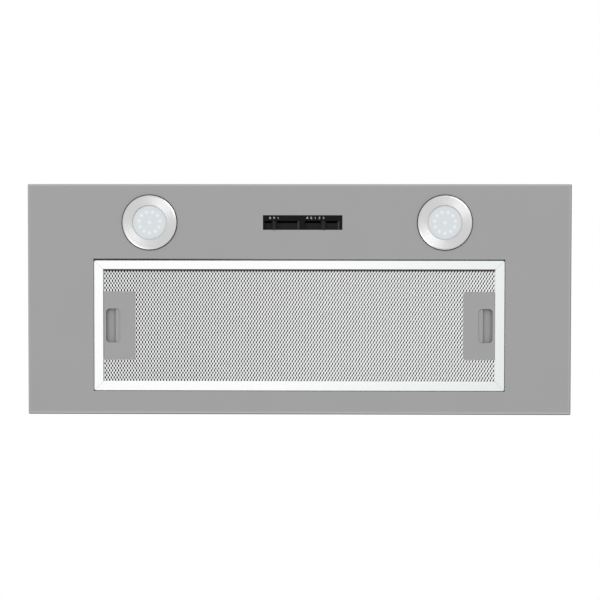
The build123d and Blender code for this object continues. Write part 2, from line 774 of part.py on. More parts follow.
def switch_housing():
    """Box with two sloped pockets; a slit along the front of each floor lets the slider's stem through."""
    half_x = SWITCH_WIDTH / 2 + SWITCH_OVERLAP
    half_y = SWITCH_DEPTH / 2 + SWITCH_OVERLAP
    floor = FACE_TOP + POCKET_DEPTH
    body = block(
        (SWITCH_SHIFT - half_x, SWITCH_SHIFT + half_x),
        (CONTROL_Y - half_y, CONTROL_Y + half_y),
        (FACE_TOP, switch_top()),
    )
    body = body - block(
        (SWITCH_SHIFT - half_x + SWITCH_WALL, SWITCH_SHIFT + half_x - SWITCH_WALL),
        (CONTROL_Y - half_y + SWITCH_WALL, CONTROL_Y + half_y - SWITCH_WALL),
        (floor + SWITCH_WALL, switch_top() + CUT_PAST),
    )
    front, back = pocket_rows()
    for left, right in pocket_spans():
        section = make_face(Polyline(
            (left, FACE_TOP - SWITCH_WALL),
            (right + POCKET_SLOPE * SWITCH_WALL / POCKET_DEPTH, FACE_TOP - SWITCH_WALL),
            (right - POCKET_SLOPE, floor),
            (left, floor),
            close=True,
        ))
        pocket = extrude(Plane.XZ.offset(-back) * section, back - front)
        slit = block(
            (left, right - POCKET_SLOPE),
            (front, front + SLIT_DEPTH),
            (FACE_TOP, floor + 2 * SWITCH_WALL),
        )
        body = body - pocket - slit
    return body


def switch_board():
    """Contact board that closes the switch from above."""
    half_x = SWITCH_WIDTH / 2 + SWITCH_OVERLAP - SWITCH_WALL - SLIDER_CLEAR
    half_y = SWITCH_DEPTH / 2 + SWITCH_OVERLAP - SWITCH_WALL - SLIDER_CLEAR
    return block(
        (SWITCH_SHIFT - half_x, SWITCH_SHIFT + half_x),
        (CONTROL_Y - half_y, CONTROL_Y + half_y),
        (switch_top() - BOARD_THICK, switch_top()),
    )


def slider(knob):
    """Sliding shoe with a finger knob below and a contact stem above."""
    front, back = pocket_rows()
    middle = (front + back) / 2
    floor = FACE_TOP + POCKET_DEPTH
    half = (back - front) / 2 - SLIDER_CLEAR
    across = (middle - half, middle + half)
    shoe = block(
        (knob - SLIDER_LENGTH / 2, knob + SLIDER_LENGTH / 2),
        across,
        (floor - SLIDER_CLEAR - SLIDER_THICK, floor - SLIDER_CLEAR),
    )
    fin = block(
        (knob - KNOB_WIDTH / 2, knob + KNOB_WIDTH / 2),
        across,
        (FACE_Z - KNOB_PROUD, floor - SLIDER_CLEAR - SLIDER_THICK),
    )
    fin = fillet(fin.faces().sort_by(Axis.Z)[0].edges().filter_by(Axis.Y), KNOB_WIDTH / 4)
    stem = block(
        (knob - STEM_WIDTH / 2, knob + STEM_WIDTH / 2),
        (front + SLIDER_CLEAR, front + SLIT_DEPTH - SLIDER_CLEAR),
        (floor - SLIDER_CLEAR, switch_top() - BOARD_THICK - SLIDER_CLEAR),
    )
    return shoe + fin + stem


def corner_rivet_places():
    """Rivets that join the wrapper to the end plates, with the way each head faces."""
    x = HOUSING_X - END_FLANGE / 2
    heights = (FACE_TOP + 2 * END_FLANGE, DECK_TOP - 2 * END_FLANGE)
    return [
        ((side * x, face * HOUSING_Y, height), (0, face, 0))
        for side in (-1, 1)
        for face in (-1, 1)
        for height in heights
    ]


def clip_rivet_height():
    """Middle of the cabinet clip's flat top, where its rivet goes through."""
    return DECK_TOP - 2 * END_FLANGE


def rivet():
    """Blind rivet on +Z: domed head outside, shank and formed tail through two sheets."""
    grip = 2 * HOUSING_SHEET
    head = rod("Z", (0, 0), (0, RIVET_HEAD_RISE), RIVET_HEAD)
    head = fillet(head.faces().sort_by(Axis.Z)[-1].edges(), RIVET_HEAD_RISE / 2)
    shank = rod("Z", (0, 0), (-grip, 0), RIVET_RADIUS)
    tail = rod("Z", (0, 0), (-grip - RIVET_TAIL_RISE, -grip), RIVET_TAIL)
    return head + shank + tail


def screw():
    """Pan-head screw on +Z with a cross recess."""
    head = rod("Z", (0, 0), (0, SCREW_HEAD_RISE), SCREW_HEAD)
    head = fillet(head.faces().sort_by(Axis.Z)[-1].edges(), SCREW_HEAD_RISE / 2)
    shank = rod("Z", (0, 0), (-SCREW_LENGTH, 0), SCREW_RADIUS)
    arm = SCREW_HEAD / 2
    wing = SCREW_HEAD / 8
    recess = (SCREW_HEAD_RISE / 2, SCREW_HEAD_RISE * 2)
    cross = block((-arm, arm), (-wing, wing), recess) + block((-wing, wing), (-arm, arm), recess)
    return head + shank - cross


def placed(shape, place, normal):
    return Plane(place, z_dir=normal).location * shape


def housing_wrapper():
    """Front wall, deck and back wall folded from one sheet."""
    t = HOUSING_SHEET
    shell = block((-HOUSING_X, HOUSING_X), (-HOUSING_Y, HOUSING_Y), (FACE_TOP, DECK_TOP))
    shell = fillet(shell.faces().sort_by(Axis.Z)[-1].edges().filter_by(Axis.X), HOUSING_BEND)
    cavity = block(
        (-HOUSING_X - CUT_PAST, HOUSING_X + CUT_PAST),
        (-HOUSING_Y + t, HOUSING_Y - t),
        (FACE_TOP - CUT_PAST, DECK_UNDER),
    )
    cavity = fillet(cavity.faces().sort_by(Axis.Z)[-1].edges().filter_by(Axis.X), HOUSING_BEND - t)
    wrap = shell - cavity
    foot = HOUSING_X - END_FLANGE - FLANGE_CLEAR
    for face in (-1, 1):
        across = sorted((face * HOUSING_Y, face * (HOUSING_Y - HOUSING_FLANGE)))
        wrap = wrap + block((-foot, foot), across, (FACE_TOP, FACE_TOP + t))
    wrap = wrap + deck_beads()
    through = (DECK_UNDER - CUT_PAST, DECK_TOP + CUT_PAST)
    wrap = wrap - block((-BOX_X + t, BOX_X - t), (BOX_FRONT + t, BOX_BACK - t), through)
    for x in LAMP_X:
        room = LAMP_BODY_RADIUS + FLANGE_CLEAR
        wrap = wrap - rod("Z", (x, CONTROL_Y), (FACE_TOP - CUT_PAST, FACE_TOP + t + CUT_PAST), room)
    for (x, y, z), normal in corner_rivet_places():
        wrap = wrap - rod("Y", (x, z), (y - 2 * t, y + 2 * t), RIVET_RADIUS + FIT_CLEAR)
    for x, y in box_screw_places():
        wrap = wrap - rod("Z", (x, y), through, SCREW_RADIUS + FIT_CLEAR)
    return wrap - rod("Z", switch_lead_top(), through, LEAD_GROMMET)


def deck_beads():
    """Pressed stiffening beads on the deck, clear of the blower box and terminal box."""
    length = HOUSING_Y + BOX_BACK - 2 * BEAD_INSET
    first = -HOUSING_X + BEAD_INSET
    beads = []
    for place in range(BEADS):
        bead = extrude(SlotOverall(length, BEAD_WIDTH), BEAD_RISE)
        bead = fillet(bead.faces().sort_by(Axis.Z)[-1].edges(), BEAD_RISE / 2)
        beads.append(Pos(first + place * BEAD_PITCH, 0, DECK_TOP) * Rot(0, 0, 90) * bead)
    span = HOUSING_X - BOX_X - BOX_FLANGE
    for place in range(BEADS):
        bead = extrude(SlotOverall(span - 2 * BEAD_INSET, BEAD_WIDTH), BEAD_RISE)
        bead = fillet(bead.faces().sort_by(Axis.Z)[-1].edges(), BEAD_RISE / 2)
        y = HOUSING_Y - BEAD_INSET - place * BEAD_PITCH
        beads.append(Pos(HOUSING_X - span / 2, y, DECK_TOP) * bead)
    return beads


def right_end_plate():
    """Folded tray that closes one end of the housing."""
    t = HOUSING_SHEET
    outer = block(
        (HOUSING_X - END_FLANGE, HOUSING_X), (-HOUSING_Y + t, HOUSING_Y - t), (FACE_TOP, DECK_UNDER)
    )
    outer = fillet(outer.faces().sort_by(Axis.Z)[-1].edges().filter_by(Axis.X), HOUSING_BEND - t)
    inner = block(
        (HOUSING_X - 2 * END_FLANGE, HOUSING_X - t),
        (-HOUSING_Y + 2 * t, HOUSING_Y - 2 * t),
        (FACE_TOP + t, DECK_UNDER - t),
    )
    plate = outer - inner
    ends = (HOUSING_X - 2 * t, HOUSING_X + t)
    for side in (-1, 1):
        plate = plate - rod("X", (side * SIDE_HOLE_SPACING / 2, SIDE_HOLE_HEIGHT), ends, SIDE_HOLE_RADIUS)
    plate = plate - rod("X", (0, clip_rivet_height()), ends, RIVET_RADIUS + FIT_CLEAR)
    for (x, y, z), normal in corner_rivet_places():
        if x > 0:
            plate = plate - rod("Y", (x, z), (y - 3 * t, y + 3 * t), RIVET_RADIUS + FIT_CLEAR)
    return plate


def right_cabinet_clip():
    """Spring strip that snaps out over the cabinet board."""
    t = CABINET_CLIP_SHEET
    reach = CABINET_CLIP_REACH
    top = clip_rivet_height() + END_FLANGE / 2
    flat = clip_rivet_height() - END_FLANGE / 2
    knee = CABINET_BOARD + reach
    face = make_face(Polyline(
        (0, top),
        (0, flat),
        (reach - t, knee),
        (reach - t - reach / 2, CABINET_BOARD),
        (reach - reach / 2, CABINET_BOARD),
        (reach, knee),
        (t, flat),
        (t, top),
        close=True,
    ))
    plane = Plane((HOUSING_X, 0, 0), x_dir=(1, 0, 0), z_dir=(0, -1, 0))
    strip = extrude(plane * face, CABINET_CLIP_WIDTH / 2, both=True)
    hole = RIVET_RADIUS + FIT_CLEAR
    return strip - rod("X", (0, clip_rivet_height()), (HOUSING_X - t, HOUSING_X + 2 * t), hole)


def housing_rivets():
    solids = [placed(rivet(), place, normal) for place, normal in corner_rivet_places()]
    for side in (-1, 1):
        x = side * (HOUSING_X + CABINET_CLIP_SHEET)
        solids.append(placed(rivet(), (x, 0, clip_rivet_height()), (side, 0, 0)))
    return group(solids)


def box_screw_places():
    """Screws through the blower box's flange into the deck."""
    x = BOX_X + BOX_FLANGE / 2
    front = BOX_FRONT - BOX_FLANGE / 2
    back = BOX_BACK + BOX_FLANGE / 2
    middle = (BOX_FRONT + BOX_BACK) / 2
    quarter = BOX_X / 2
    return [
        (-x, middle), (x, middle), (-quarter, front), (quarter, front), (-quarter, back), (quarter, back)
    ]


def collar_screw_places():
    reach = COLLAR_FLANGE / 2 - COLLAR_SCREW_INSET
    return [(sx * reach, OUTLET_Y + sy * reach) for sx in (-1, 1) for sy in (-1, 1)]


def lid_screw_places():
    """Two posts in opposite corners of the terminal box."""
    near = (TERMINAL_X + LID_SCREW_INSET, TERMINAL_Y + LID_SCREW_INSET)
    far_x = TERMINAL_X + TERMINAL_WIDTH - LID_SCREW_INSET
    far_y = TERMINAL_Y + TERMINAL_DEPTH - LID_SCREW_INSET
    return [near, (far_x, far_y)]


def blower_box():
    """Raised sheet box over the blower, open below, with a flange on the deck."""
    t = HOUSING_SHEET
    outer = rounded_hood((-BOX_X, BOX_X), (BOX_FRONT, BOX_BACK), (DECK_TOP, BOX_TOP), BOX_CORNER, BOX_BEND)
    flange = block(
        (-BOX_X - BOX_FLANGE, BOX_X + BOX_FLANGE),
        (BOX_FRONT - BOX_FLANGE, BOX_BACK + BOX_FLANGE),
        (DECK_TOP, DECK_TOP + t),
    )
    flange = fillet(flange.edges().filter_by(Axis.Z), BOX_CORNER)
    inner = rounded_hood(
        (-BOX_X + t, BOX_X - t),
        (BOX_FRONT + t, BOX_BACK - t),
        (DECK_TOP - BOX_BEND, BOX_TOP - t),
        BOX_CORNER - t,
        BOX_BEND - t,
    )
    box = outer + flange - inner
    through = (OUTLET_Z - CUT_PAST, BOX_TOP + CUT_PAST)
    box = box - rod("Z", (0, OUTLET_Y), through, COLLAR_BORE)
    for x, y in collar_screw_places():
        box = box - rod("Z", (x, y), through, SCREW_RADIUS + FIT_CLEAR)
    for x, y in box_screw_places():
        box = box - rod("Z", (x, y), (DECK_TOP - CUT_PAST, DECK_TOP + 2 * t), SCREW_RADIUS + FIT_CLEAR)
    return box - rod("X", (MOTOR_LEAD_Y, MOTOR_LEAD_Z), (BOX_X - 2 * t, BOX_X + t), LEAD_GROMMET)


def outlet_collar():
    """Moulded spigot for the duct, with a ledge that the closed flaps rest on."""
    half = COLLAR_FLANGE / 2
    top = BOX_TOP + COLLAR_HEIGHT
    plate = block(
        (-half, half), (OUTLET_Y - half, OUTLET_Y + half), (BOX_TOP, BOX_TOP + COLLAR_FLANGE_THICK)
    )
    plate = fillet(plate.edges().filter_by(Axis.Z), COLLAR_CORNER)
    collar = plate + rod("Z", (0, OUTLET_Y), (BOX_TOP, top), COLLAR_RADIUS)
    collar = collar - rod("Z", (0, OUTLET_Y), (BOX_TOP - CUT_PAST, top + CUT_PAST), COLLAR_BORE)
    ledge_top = PIN_Z - FLAP_THICK / 2 - LEDGE_GAP
    ledge_ends = (ledge_top - LEDGE_THICK, ledge_top)
    collar = collar + tube("Z", (0, OUTLET_Y), ledge_ends, COLLAR_RADIUS, COLLAR_BORE - LEDGE_WIDTH)
    collar = collar - rod("X", (OUTLET_Y, PIN_Z), (-half, half), PIN_RADIUS + FIT_CLEAR)
    through = (BOX_TOP - CUT_PAST, BOX_TOP + COLLAR_FLANGE_THICK + CUT_PAST)
    for x, y in collar_screw_places():
        collar = collar - rod("Z", (x, y), through, SCREW_RADIUS + FIT_CLEAR)
    return collar


def flap_pin():
    return rod("X", (OUTLET_Y, PIN_Z), (-COLLAR_RADIUS, COLLAR_RADIUS), PIN_RADIUS)


def flap(side, first):
    """Half disc on two knuckles; side is -1 for the front flap and 1 for the back flap."""
    radius = COLLAR_BORE - FLAP_CLEAR
    edge = KNUCKLE_RADIUS + LEDGE_GAP
    plate = rod("Z", (0, OUTLET_Y), (PIN_Z - FLAP_THICK / 2, PIN_Z + FLAP_THICK / 2), radius)
    across = sorted((OUTLET_Y + side * edge, OUTLET_Y + side * 2 * radius))
    plate = plate & block((-radius, radius), across, (PIN_Z - FLAP_THICK, PIN_Z + FLAP_THICK))
    pitch = KNUCKLE_LENGTH + KNUCKLE_GAP
    for knuckle in range(first, KNUCKLES, 2):
        start = (knuckle - KNUCKLES / 2) * pitch
        ends = (start + KNUCKLE_GAP / 2, start + pitch - KNUCKLE_GAP / 2)
        web = block(
            ends,
            sorted((OUTLET_Y, OUTLET_Y + side * 2 * edge)),
            (PIN_Z - FLAP_THICK / 2, PIN_Z + FLAP_THICK / 2),
        )
        plate = plate + web + rod("X", (OUTLET_Y, PIN_Z), ends, KNUCKLE_RADIUS)
    return plate - rod("X", (OUTLET_Y, PIN_Z), (-radius, radius), PIN_RADIUS + PIN_CLEAR)


def scroll_outline(grow, rise):
    """Scroll section in (y, z) from the shaft: three arcs, then the straight outlet."""
    half = SCROLL_STEP / 2
    r1 = SCROLL_R1 + grow
    r2 = SCROLL_R2 + grow
    r3 = SCROLL_R3 + grow
    wall = TONGUE_POINT + grow
    lift = math.degrees(math.acos((wall - half) / r1))
    tongue = (wall, -half + r1 * math.sin(math.radians(lift)))
    front = -half - r3
    return make_face([
        CenterArc((half, -half), r1, 0, lift),
        CenterArc((-half, -half), r2, -90, 90),
        CenterArc((-half, half), r3, -180, 90),
        Line((front, half), (front, rise)),
        Line((front, rise), (wall, rise)),
        Line((wall, rise), tongue),
    ])


def scroll_right_half():
    """Moulded half scroll: round wall, side wall with bell-mouthed inlet, half of the outlet plate."""
    plane = Plane((0, AXIS_Y, AXIS_Z), x_dir=(0, 1, 0), z_dir=(1, 0, 0))
    outer = extrude(plane * scroll_outline(SCROLL_WALL, OUTLET_RISE), SCROLL_HALF)
    inner = extrude(plane * scroll_outline(0, OUTLET_RISE + CUT_PAST), SCROLL_HALF - SCROLL_WALL)
    lip = INLET_LIP
    bell = make_face([
        Line((SCROLL_HALF, INLET_RADIUS), (SCROLL_HALF, INLET_RADIUS + 2 * lip)),
        CenterArc((SCROLL_HALF, INLET_RADIUS + lip), lip, 0, 90),
        Line((SCROLL_HALF + lip, INLET_RADIUS + lip), (SCROLL_HALF + lip, INLET_RADIUS)),
        Line((SCROLL_HALF + lip, INLET_RADIUS), (SCROLL_HALF, INLET_RADIUS)),
    ])
    ring = revolve(Plane.XY * bell, Axis.X)
    half = outer + Pos(0, AXIS_Y, AXIS_Z) * ring
    half = half - inner - rod("X", (AXIS_Y, AXIS_Z), (0, SCROLL_HALF + 2 * lip), INLET_RADIUS)
    reach = COLLAR_FLANGE / 2
    plate = block(
        (0, reach), (OUTLET_Y - reach, OUTLET_Y + reach), (OUTLET_Z - SCROLL_FLANGE_THICK, OUTLET_Z)
    )
    ends = (OUTLET_Z - SCREW_LENGTH, OUTLET_Z + CUT_PAST)
    half = half + plate - rod("Z", (0, OUTLET_Y), ends, COLLAR_BORE)
    for x, y in collar_screw_places():
        half = half - rod("Z", (x, y), ends, SCREW_RADIUS + FIT_CLEAR)
    return half


def scroll_left_half(right_half):
    """The other hand of the scroll, drilled for the motor spider's screws."""
    half = flipped(right_half)
    for place in spider_tabs():
        ends = (-SCROLL_HALF - SCROLL_WALL, -SCROLL_HALF + 2 * SCROLL_WALL)
        half = half - rod("X", place, ends, SCREW_RADIUS + FIT_CLEAR)
    return half


def wheel():
    """Double-inlet blower wheel: centre disc, hub, forward-curved blades and end rings."""
    half = WHEEL_WIDTH / 2
    inner = WHEEL_RADIUS - BLADE_LENGTH
    middle = WHEEL_RADIUS - BLADE_LENGTH / 2
    lead = math.radians(BLADE_LEAD)
    skew = BLADE_THICK / middle

    def point(radius, angle):
        return (radius * math.cos(angle), radius * math.sin(angle))

    blade = make_face([
        ThreePointArc(point(inner, 0), point(middle, lead / 4), point(WHEEL_RADIUS, lead)),
        Line(point(WHEEL_RADIUS, lead), point(WHEEL_RADIUS, lead + skew)),
        ThreePointArc(point(WHEEL_RADIUS, lead + skew), point(middle, lead / 4 + skew), point(inner, skew)),
        Line(point(inner, skew), point(inner, 0)),
    ])
    blades = [
        Rot(0, 0, 360 * k / BLADE_COUNT) * extrude(blade, half, both=True) for k in range(BLADE_COUNT)
    ]
    rings = [
        tube("Z", (0, 0), ends, WHEEL_RADIUS, WHEEL_RADIUS - WHEEL_RING)
        for ends in ((-half, -half + WHEEL_RING_THICK), (half - WHEEL_RING_THICK, half))
    ]
    disc = rod("Z", (0, 0), (-WHEEL_DISC / 2, WHEEL_DISC / 2), WHEEL_RADIUS)
    hub = rod("Z", (0, 0), (-HUB_LENGTH / 2, HUB_LENGTH / 2), HUB_RADIUS)
    body = disc + hub + rings + blades
    body = body - rod("Z", (0, 0), (-HUB_LENGTH, HUB_LENGTH), SHAFT_RADIUS + SHAFT_CLEAR / 2)
    return Pos(0, AXIS_Y, AXIS_Z) * Rot(0, 90, 0) * body


def at_axis():
    return (AXIS_Y, AXIS_Z)


def bearing_ends():
    rear = SPIDER_FACE + BELL_END
    front = MOTOR_FRONT - BELL_END
    return (rear, rear + BEARING_WIDTH), (front - BEARING_WIDTH, front)


def motor_bell(ends, end_wall, seat):
    """Cup with a bearing seat inside its end wall."""
    bell = rod("X", at_axis(), ends, MOTOR_RADIUS)
    hollow = [end_wall[1], ends[1]] if end_wall[0] == ends[0] else [ends[0], end_wall[0]]
    bell = bell - rod("X", at_axis(), hollow, MOTOR_RADIUS - MOTOR_WALL)
    bore = BEARING_RADIUS + FIT_CLEAR
    bell = bell + tube("X", at_axis(), seat, BEARING_RADIUS + BEARING_SEAT_WALL, bore)
    return bell - rod("X", at_axis(), end_wall, SHAFT_RADIUS + SHAFT_HOLE_GAP)


def motor_rear_bell():
    seat = bearing_ends()[0]
    return motor_bell((SPIDER_FACE, STATOR_BACK), (SPIDER_FACE, SPIDER_FACE + BELL_END), seat)


def motor_front_bell():
    seat = bearing_ends()[1]
    return motor_bell((STATOR_FRONT, MOTOR_FRONT), (MOTOR_FRONT - BELL_END, MOTOR_FRONT), seat)


def motor_stator():
    return tube("X", at_axis(), (STATOR_BACK, STATOR_FRONT), MOTOR_RADIUS, STATOR_BORE)


def motor_rotor():
    bore = SHAFT_RADIUS + SHAFT_CLEAR / 2
    return tube("X", at_axis(), (STATOR_BACK, STATOR_FRONT), STATOR_BORE - ROTOR_GAP, bore)


def motor_shaft():
    end = HUB_LENGTH / 2 + SHAFT_RADIUS
    return rod("X", at_axis(), (SPIDER_FACE + BELL_END / 2, end), SHAFT_RADIUS)


def motor_bearings():
    inner = SHAFT_RADIUS + SHAFT_CLEAR
    return group([tube("X", at_axis(), ends, BEARING_RADIUS, inner) for ends in bearing_ends()])


def spider_tabs():
    """Centres of the spider's feet round the inlet, in (y, z)."""
    places = []
    for arm in range(SPIDER_ARMS):
        angle = 2 * math.pi * (arm + 0.5) / SPIDER_ARMS
        places.append((
            AXIS_Y + SPIDER_TAB_RADIUS * math.cos(angle), AXIS_Z + SPIDER_TAB_RADIUS * math.sin(angle)
        ))
    return places


def motor_spider():
    """Pressed plate that carries the motor across the left inlet."""
    ends = (SPIDER_FACE - SPIDER_SHEET, SPIDER_FACE)
    spider = rod("X", at_axis(), ends, MOTOR_RADIUS)
    length = SPIDER_TAB_RADIUS
    for arm in range(SPIDER_ARMS):
        turn = 360 * (arm + 0.5) / SPIDER_ARMS
        bar = block(ends, (0, length), (-SPIDER_ARM / 2, SPIDER_ARM / 2))
        spider = spider + Pos(0, AXIS_Y, AXIS_Z) * Rot(turn, 0, 0) * bar
    for place in spider_tabs():
        spider = spider + rod("X", place, ends, SPIDER_ARM / 2)
    through = (ends[0] - CUT_PAST, ends[1] + CUT_PAST)
    for place in spider_tabs():
        spider = spider - rod("X", place, through, SCREW_RADIUS + FIT_CLEAR)
    return spider - rod("X", at_axis(), through, SPIDER_HOLE)


def spider_grommets():
    ends = (SPIDER_FACE, -SCROLL_HALF)
    bore = SCREW_RADIUS + FIT_CLEAR
    return group([tube("X", place, ends, GROMMET_RADIUS, bore) for place in spider_tabs()])


def inlet_guard():
    """Wire guard over the right inlet: concentric rings on two crossed bars."""
    wire = GUARD_WIRE
    face = SCROLL_HALF + INLET_LIP
    rim = INLET_RADIUS + INLET_LIP - wire
    ends = (face, face + wire)
    rings = [
        tube("X", at_axis(), ends, rim * (k + 1) / GUARD_RINGS + wire, rim * (k + 1) / GUARD_RINGS - wire)
        for k in range(GUARD_RINGS)
    ]
    bars = [
        block(ends, (AXIS_Y - rim, AXIS_Y + rim), (AXIS_Z - wire, AXIS_Z + wire)),
        block(ends, (AXIS_Y - wire, AXIS_Y + wire), (AXIS_Z - rim, AXIS_Z + rim)),
    ]
    guard = bars[0] + bars[1]
    return guard + rings


def sheet_screws():
    """Every pan-head screw: collar, blower box flange, terminal box lid and motor spider."""
    solids = []
    for x, y in collar_screw_places():
        solids.append(placed(screw(), (x, y, BOX_TOP + COLLAR_FLANGE_THICK), (0, 0, 1)))
    for x, y in box_screw_places():
        solids.append(placed(screw(), (x, y, DECK_TOP + HOUSING_SHEET), (0, 0, 1)))
    for x, y in lid_screw_places():
        solids.append(placed(screw(), (x, y, TERMINAL_TOP + LID_THICK), (0, 0, 1)))
    for y, z in spider_tabs():
        solids.append(placed(screw(), (SPIDER_FACE - SPIDER_SHEET, y, z), (-1, 0, 0)))
    return group(solids)


def terminal_box():
    """Open moulded box on the deck with two screw posts and holes for the leads."""
    x = (TERMINAL_X, TERMINAL_X + TERMINAL_WIDTH)
    y = (TERMINAL_Y, TERMINAL_Y + TERMINAL_DEPTH)
    wall = TERMINAL_WALL
    box = block(x, y, (DECK_TOP, TERMINAL_TOP))
    box = fillet(box.edges().filter_by(Axis.Z), TERMINAL_CORNER)
    box = box - block(
        (x[0] + wall, x[1] - wall),
        (y[0] + wall, y[1] - wall),
        (DECK_TOP + wall, TERMINAL_TOP + CUT_PAST),
    )
    for place in lid_screw_places():
        box = box + rod("Z", place, (DECK_TOP + wall, TERMINAL_TOP - LID_LIP), SCREW_HEAD)
        box = box - rod("Z", place, (TERMINAL_TOP - SCREW_LENGTH, TERMINAL_TOP), SCREW_RADIUS + FIT_CLEAR)
    bore = MAIN_LEAD_RADIUS + LEAD_CLEAR
    box = box - rod("X", (MOTOR_LEAD_Y, MOTOR_LEAD_Z), (x[0] - CUT_PAST, x[0] + 2 * wall), bore)
    box = box - rod("Z", switch_lead_top(), (DECK_TOP - CUT_PAST, DECK_TOP + 2 * wall), LEAD_GROMMET)
    gy, gz = gland_place()
    return box - rod("X", (gy, gz), (x[1] - 2 * wall, x[1] + CUT_PAST), GLAND_BORE + TERMINAL_WALL)


def terminal_lid():
    x = (TERMINAL_X, TERMINAL_X + TERMINAL_WIDTH)
    y = (TERMINAL_Y, TERMINAL_Y + TERMINAL_DEPTH)
    inset = TERMINAL_WALL + LID_FIT
    lid = block(x, y, (TERMINAL_TOP, TERMINAL_TOP + LID_THICK))
    lid = fillet(lid.edges().filter_by(Axis.Z), TERMINAL_CORNER)
    lid = fillet(lid.faces().sort_by(Axis.Z)[-1].edges(), LID_LIP / 2)
    lid = lid + block(
        (x[0] + inset, x[1] - inset), (y[0] + inset, y[1] - inset), (TERMINAL_TOP - LID_LIP, TERMINAL_TOP)
    )
    ends = (TERMINAL_TOP - 2 * LID_LIP, TERMINAL_TOP + 2 * LID_THICK)
    for place in lid_screw_places():
        lid = lid - rod("Z", place, ends, SCREW_RADIUS + FIT_CLEAR)
    return lid


def gland_place():
    return TERMINAL_Y + TERMINAL_DEPTH / 2, DECK_TOP + TERMINAL_HEIGHT / 2


def cable_gland():
    """Threaded gland with a hexagon outside the box and a neck through its wall."""
    face = TERMINAL_X + TERMINAL_WIDTH
    plane = Plane((face, *gland_place()), x_dir=(0, 1, 0), z_dir=(1, 0, 0))
    hexagon = extrude(plane * RegularPolygon(GLAND_RADIUS, 6), GLAND_NUT)
    cap = rod("X", gland_place(), (face + GLAND_NUT, face + GLAND_LENGTH), GLAND_RADIUS - TERMINAL_WALL)
    cap = fillet(cap.faces().sort_by(Axis.X)[-1].edges(), TERMINAL_WALL)
    neck = rod("X", gland_place(), (face - TERMINAL_WALL, face), GLAND_BORE + TERMINAL_WALL - FIT_CLEAR)
    gland = hexagon + cap + neck
    return gland - rod("X", gland_place(), (face - 2 * TERMINAL_WALL, face + 2 * GLAND_LENGTH), GLAND_BORE)


def terminal_block():
    """Connector strip with a row of wire holes, on the terminal box's floor."""
    length, depth, height = BLOCK_SIZE
    x = TERMINAL_X + TERMINAL_WIDTH / 2
    y = TERMINAL_Y + TERMINAL_DEPTH - TERMINAL_WALL - depth
    floor = DECK_TOP + TERMINAL_WALL
    strip = block((x - length / 2, x + length / 2), (y - depth / 2, y + depth / 2), (floor, floor + height))
    for way in range(BLOCK_WAYS):
        hole_x = x + (way - (BLOCK_WAYS - 1) / 2) * length / BLOCK_WAYS
        strip = strip - rod("Y", (hole_x, floor + height / 2), (y - depth, y + depth), BLOCK_HOLE)
    return strip


def motor_capacitor():
    """Round can lying in the front right corner of the terminal box."""
    floor = DECK_TOP + TERMINAL_WALL
    end = TERMINAL_X + TERMINAL_WIDTH - 2 * TERMINAL_WALL
    y = TERMINAL_Y + TERMINAL_WALL + CAPACITOR_GAP + CAPACITOR_RADIUS
    can = rod("X", (y, floor + CAPACITOR_RADIUS), (end - CAPACITOR_LENGTH, end), CAPACITOR_RADIUS)
    return fillet(can.faces().sort_by(Axis.X)[-1].edges(), CAPACITOR_RADIUS / 8)


def driver_x():
    start = SWITCH_SHIFT + SWITCH_WIDTH / 2 + SWITCH_OVERLAP + DRIVER_GAP
    return start, start + DRIVER_SIZE[0]


def led_driver():
    """Sealed power supply for the lamps, standing on the face panel."""
    half = DRIVER_SIZE[1] / 2
    case = block(driver_x(), (CONTROL_Y - half, CONTROL_Y + half), (FACE_TOP, FACE_TOP + DRIVER_SIZE[2]))
    return fillet(case.edges().filter_by(Axis.Z), DRIVER_CORNER)


def lead(points, radius, bend):
    """Round lead swept along straight runs joined by tangent arcs."""
    path = FilletPolyline(*points, radius=bend)
    start = Plane(path @ 0, z_dir=path % 0)
    return sweep(start * Circle(radius), path=path)


def lamp_leads():
    """A lead from the top of each lamp along the control band to the driver."""
    top = FACE_Z - GASKET_THICK + LAMP_BODY_RISE
    run = top + 5 * LAMP_LEAD_RADIUS
    bend = 3 * LAMP_LEAD_RADIUS
    y = CONTROL_Y - 3 * LAMP_LEAD_RADIUS
    drop = FACE_TOP + DRIVER_SIZE[2]
    ends = (driver_x()[0] + bend, driver_x()[1] - bend)
    return group([
        lead([(x, y, top), (x, y, run), (end, y, run), (end, y, drop)], LAMP_LEAD_RADIUS, bend)
        for x, end in zip(LAMP_X, ends)
    ])


def switch_lead_top():
    """Where the switch lead rises through the deck into the terminal box."""
    return TERMINAL_X + SWITCH_LEAD_INSET, CONTROL_Y + 3 * LAMP_LEAD_RADIUS


def switch_lead():
    x, y = switch_lead_top()
    bend = 4 * MAIN_LEAD_RADIUS
    run = DECK_UNDER - 2 * bend
    top = DECK_TOP + 2 * TERMINAL_WALL
    points = [
        (SWITCH_SHIFT, y, switch_top()),
        (SWITCH_SHIFT, y, run),
        (x, y, run),
        (x, y, top),
    ]
    return lead(points, MAIN_LEAD_RADIUS, bend)


def motor_lead():
    """Lead from the motor's rear face, round the scroll's front, out to the terminal box."""
    bend = 4 * MAIN_LEAD_RADIUS
    out = SPIDER_FACE - SPIDER_SHEET - 2 * bend
    z = MOTOR_LEAD_Z
    points = [
        (SPIDER_FACE, AXIS_Y, z),
        (out, AXIS_Y, z),
        (out, MOTOR_LEAD_Y, z),
        (TERMINAL_X + 2 * TERMINAL_WALL, MOTOR_LEAD_Y, z),
    ]
    return lead(points, MAIN_LEAD_RADIUS, bend)


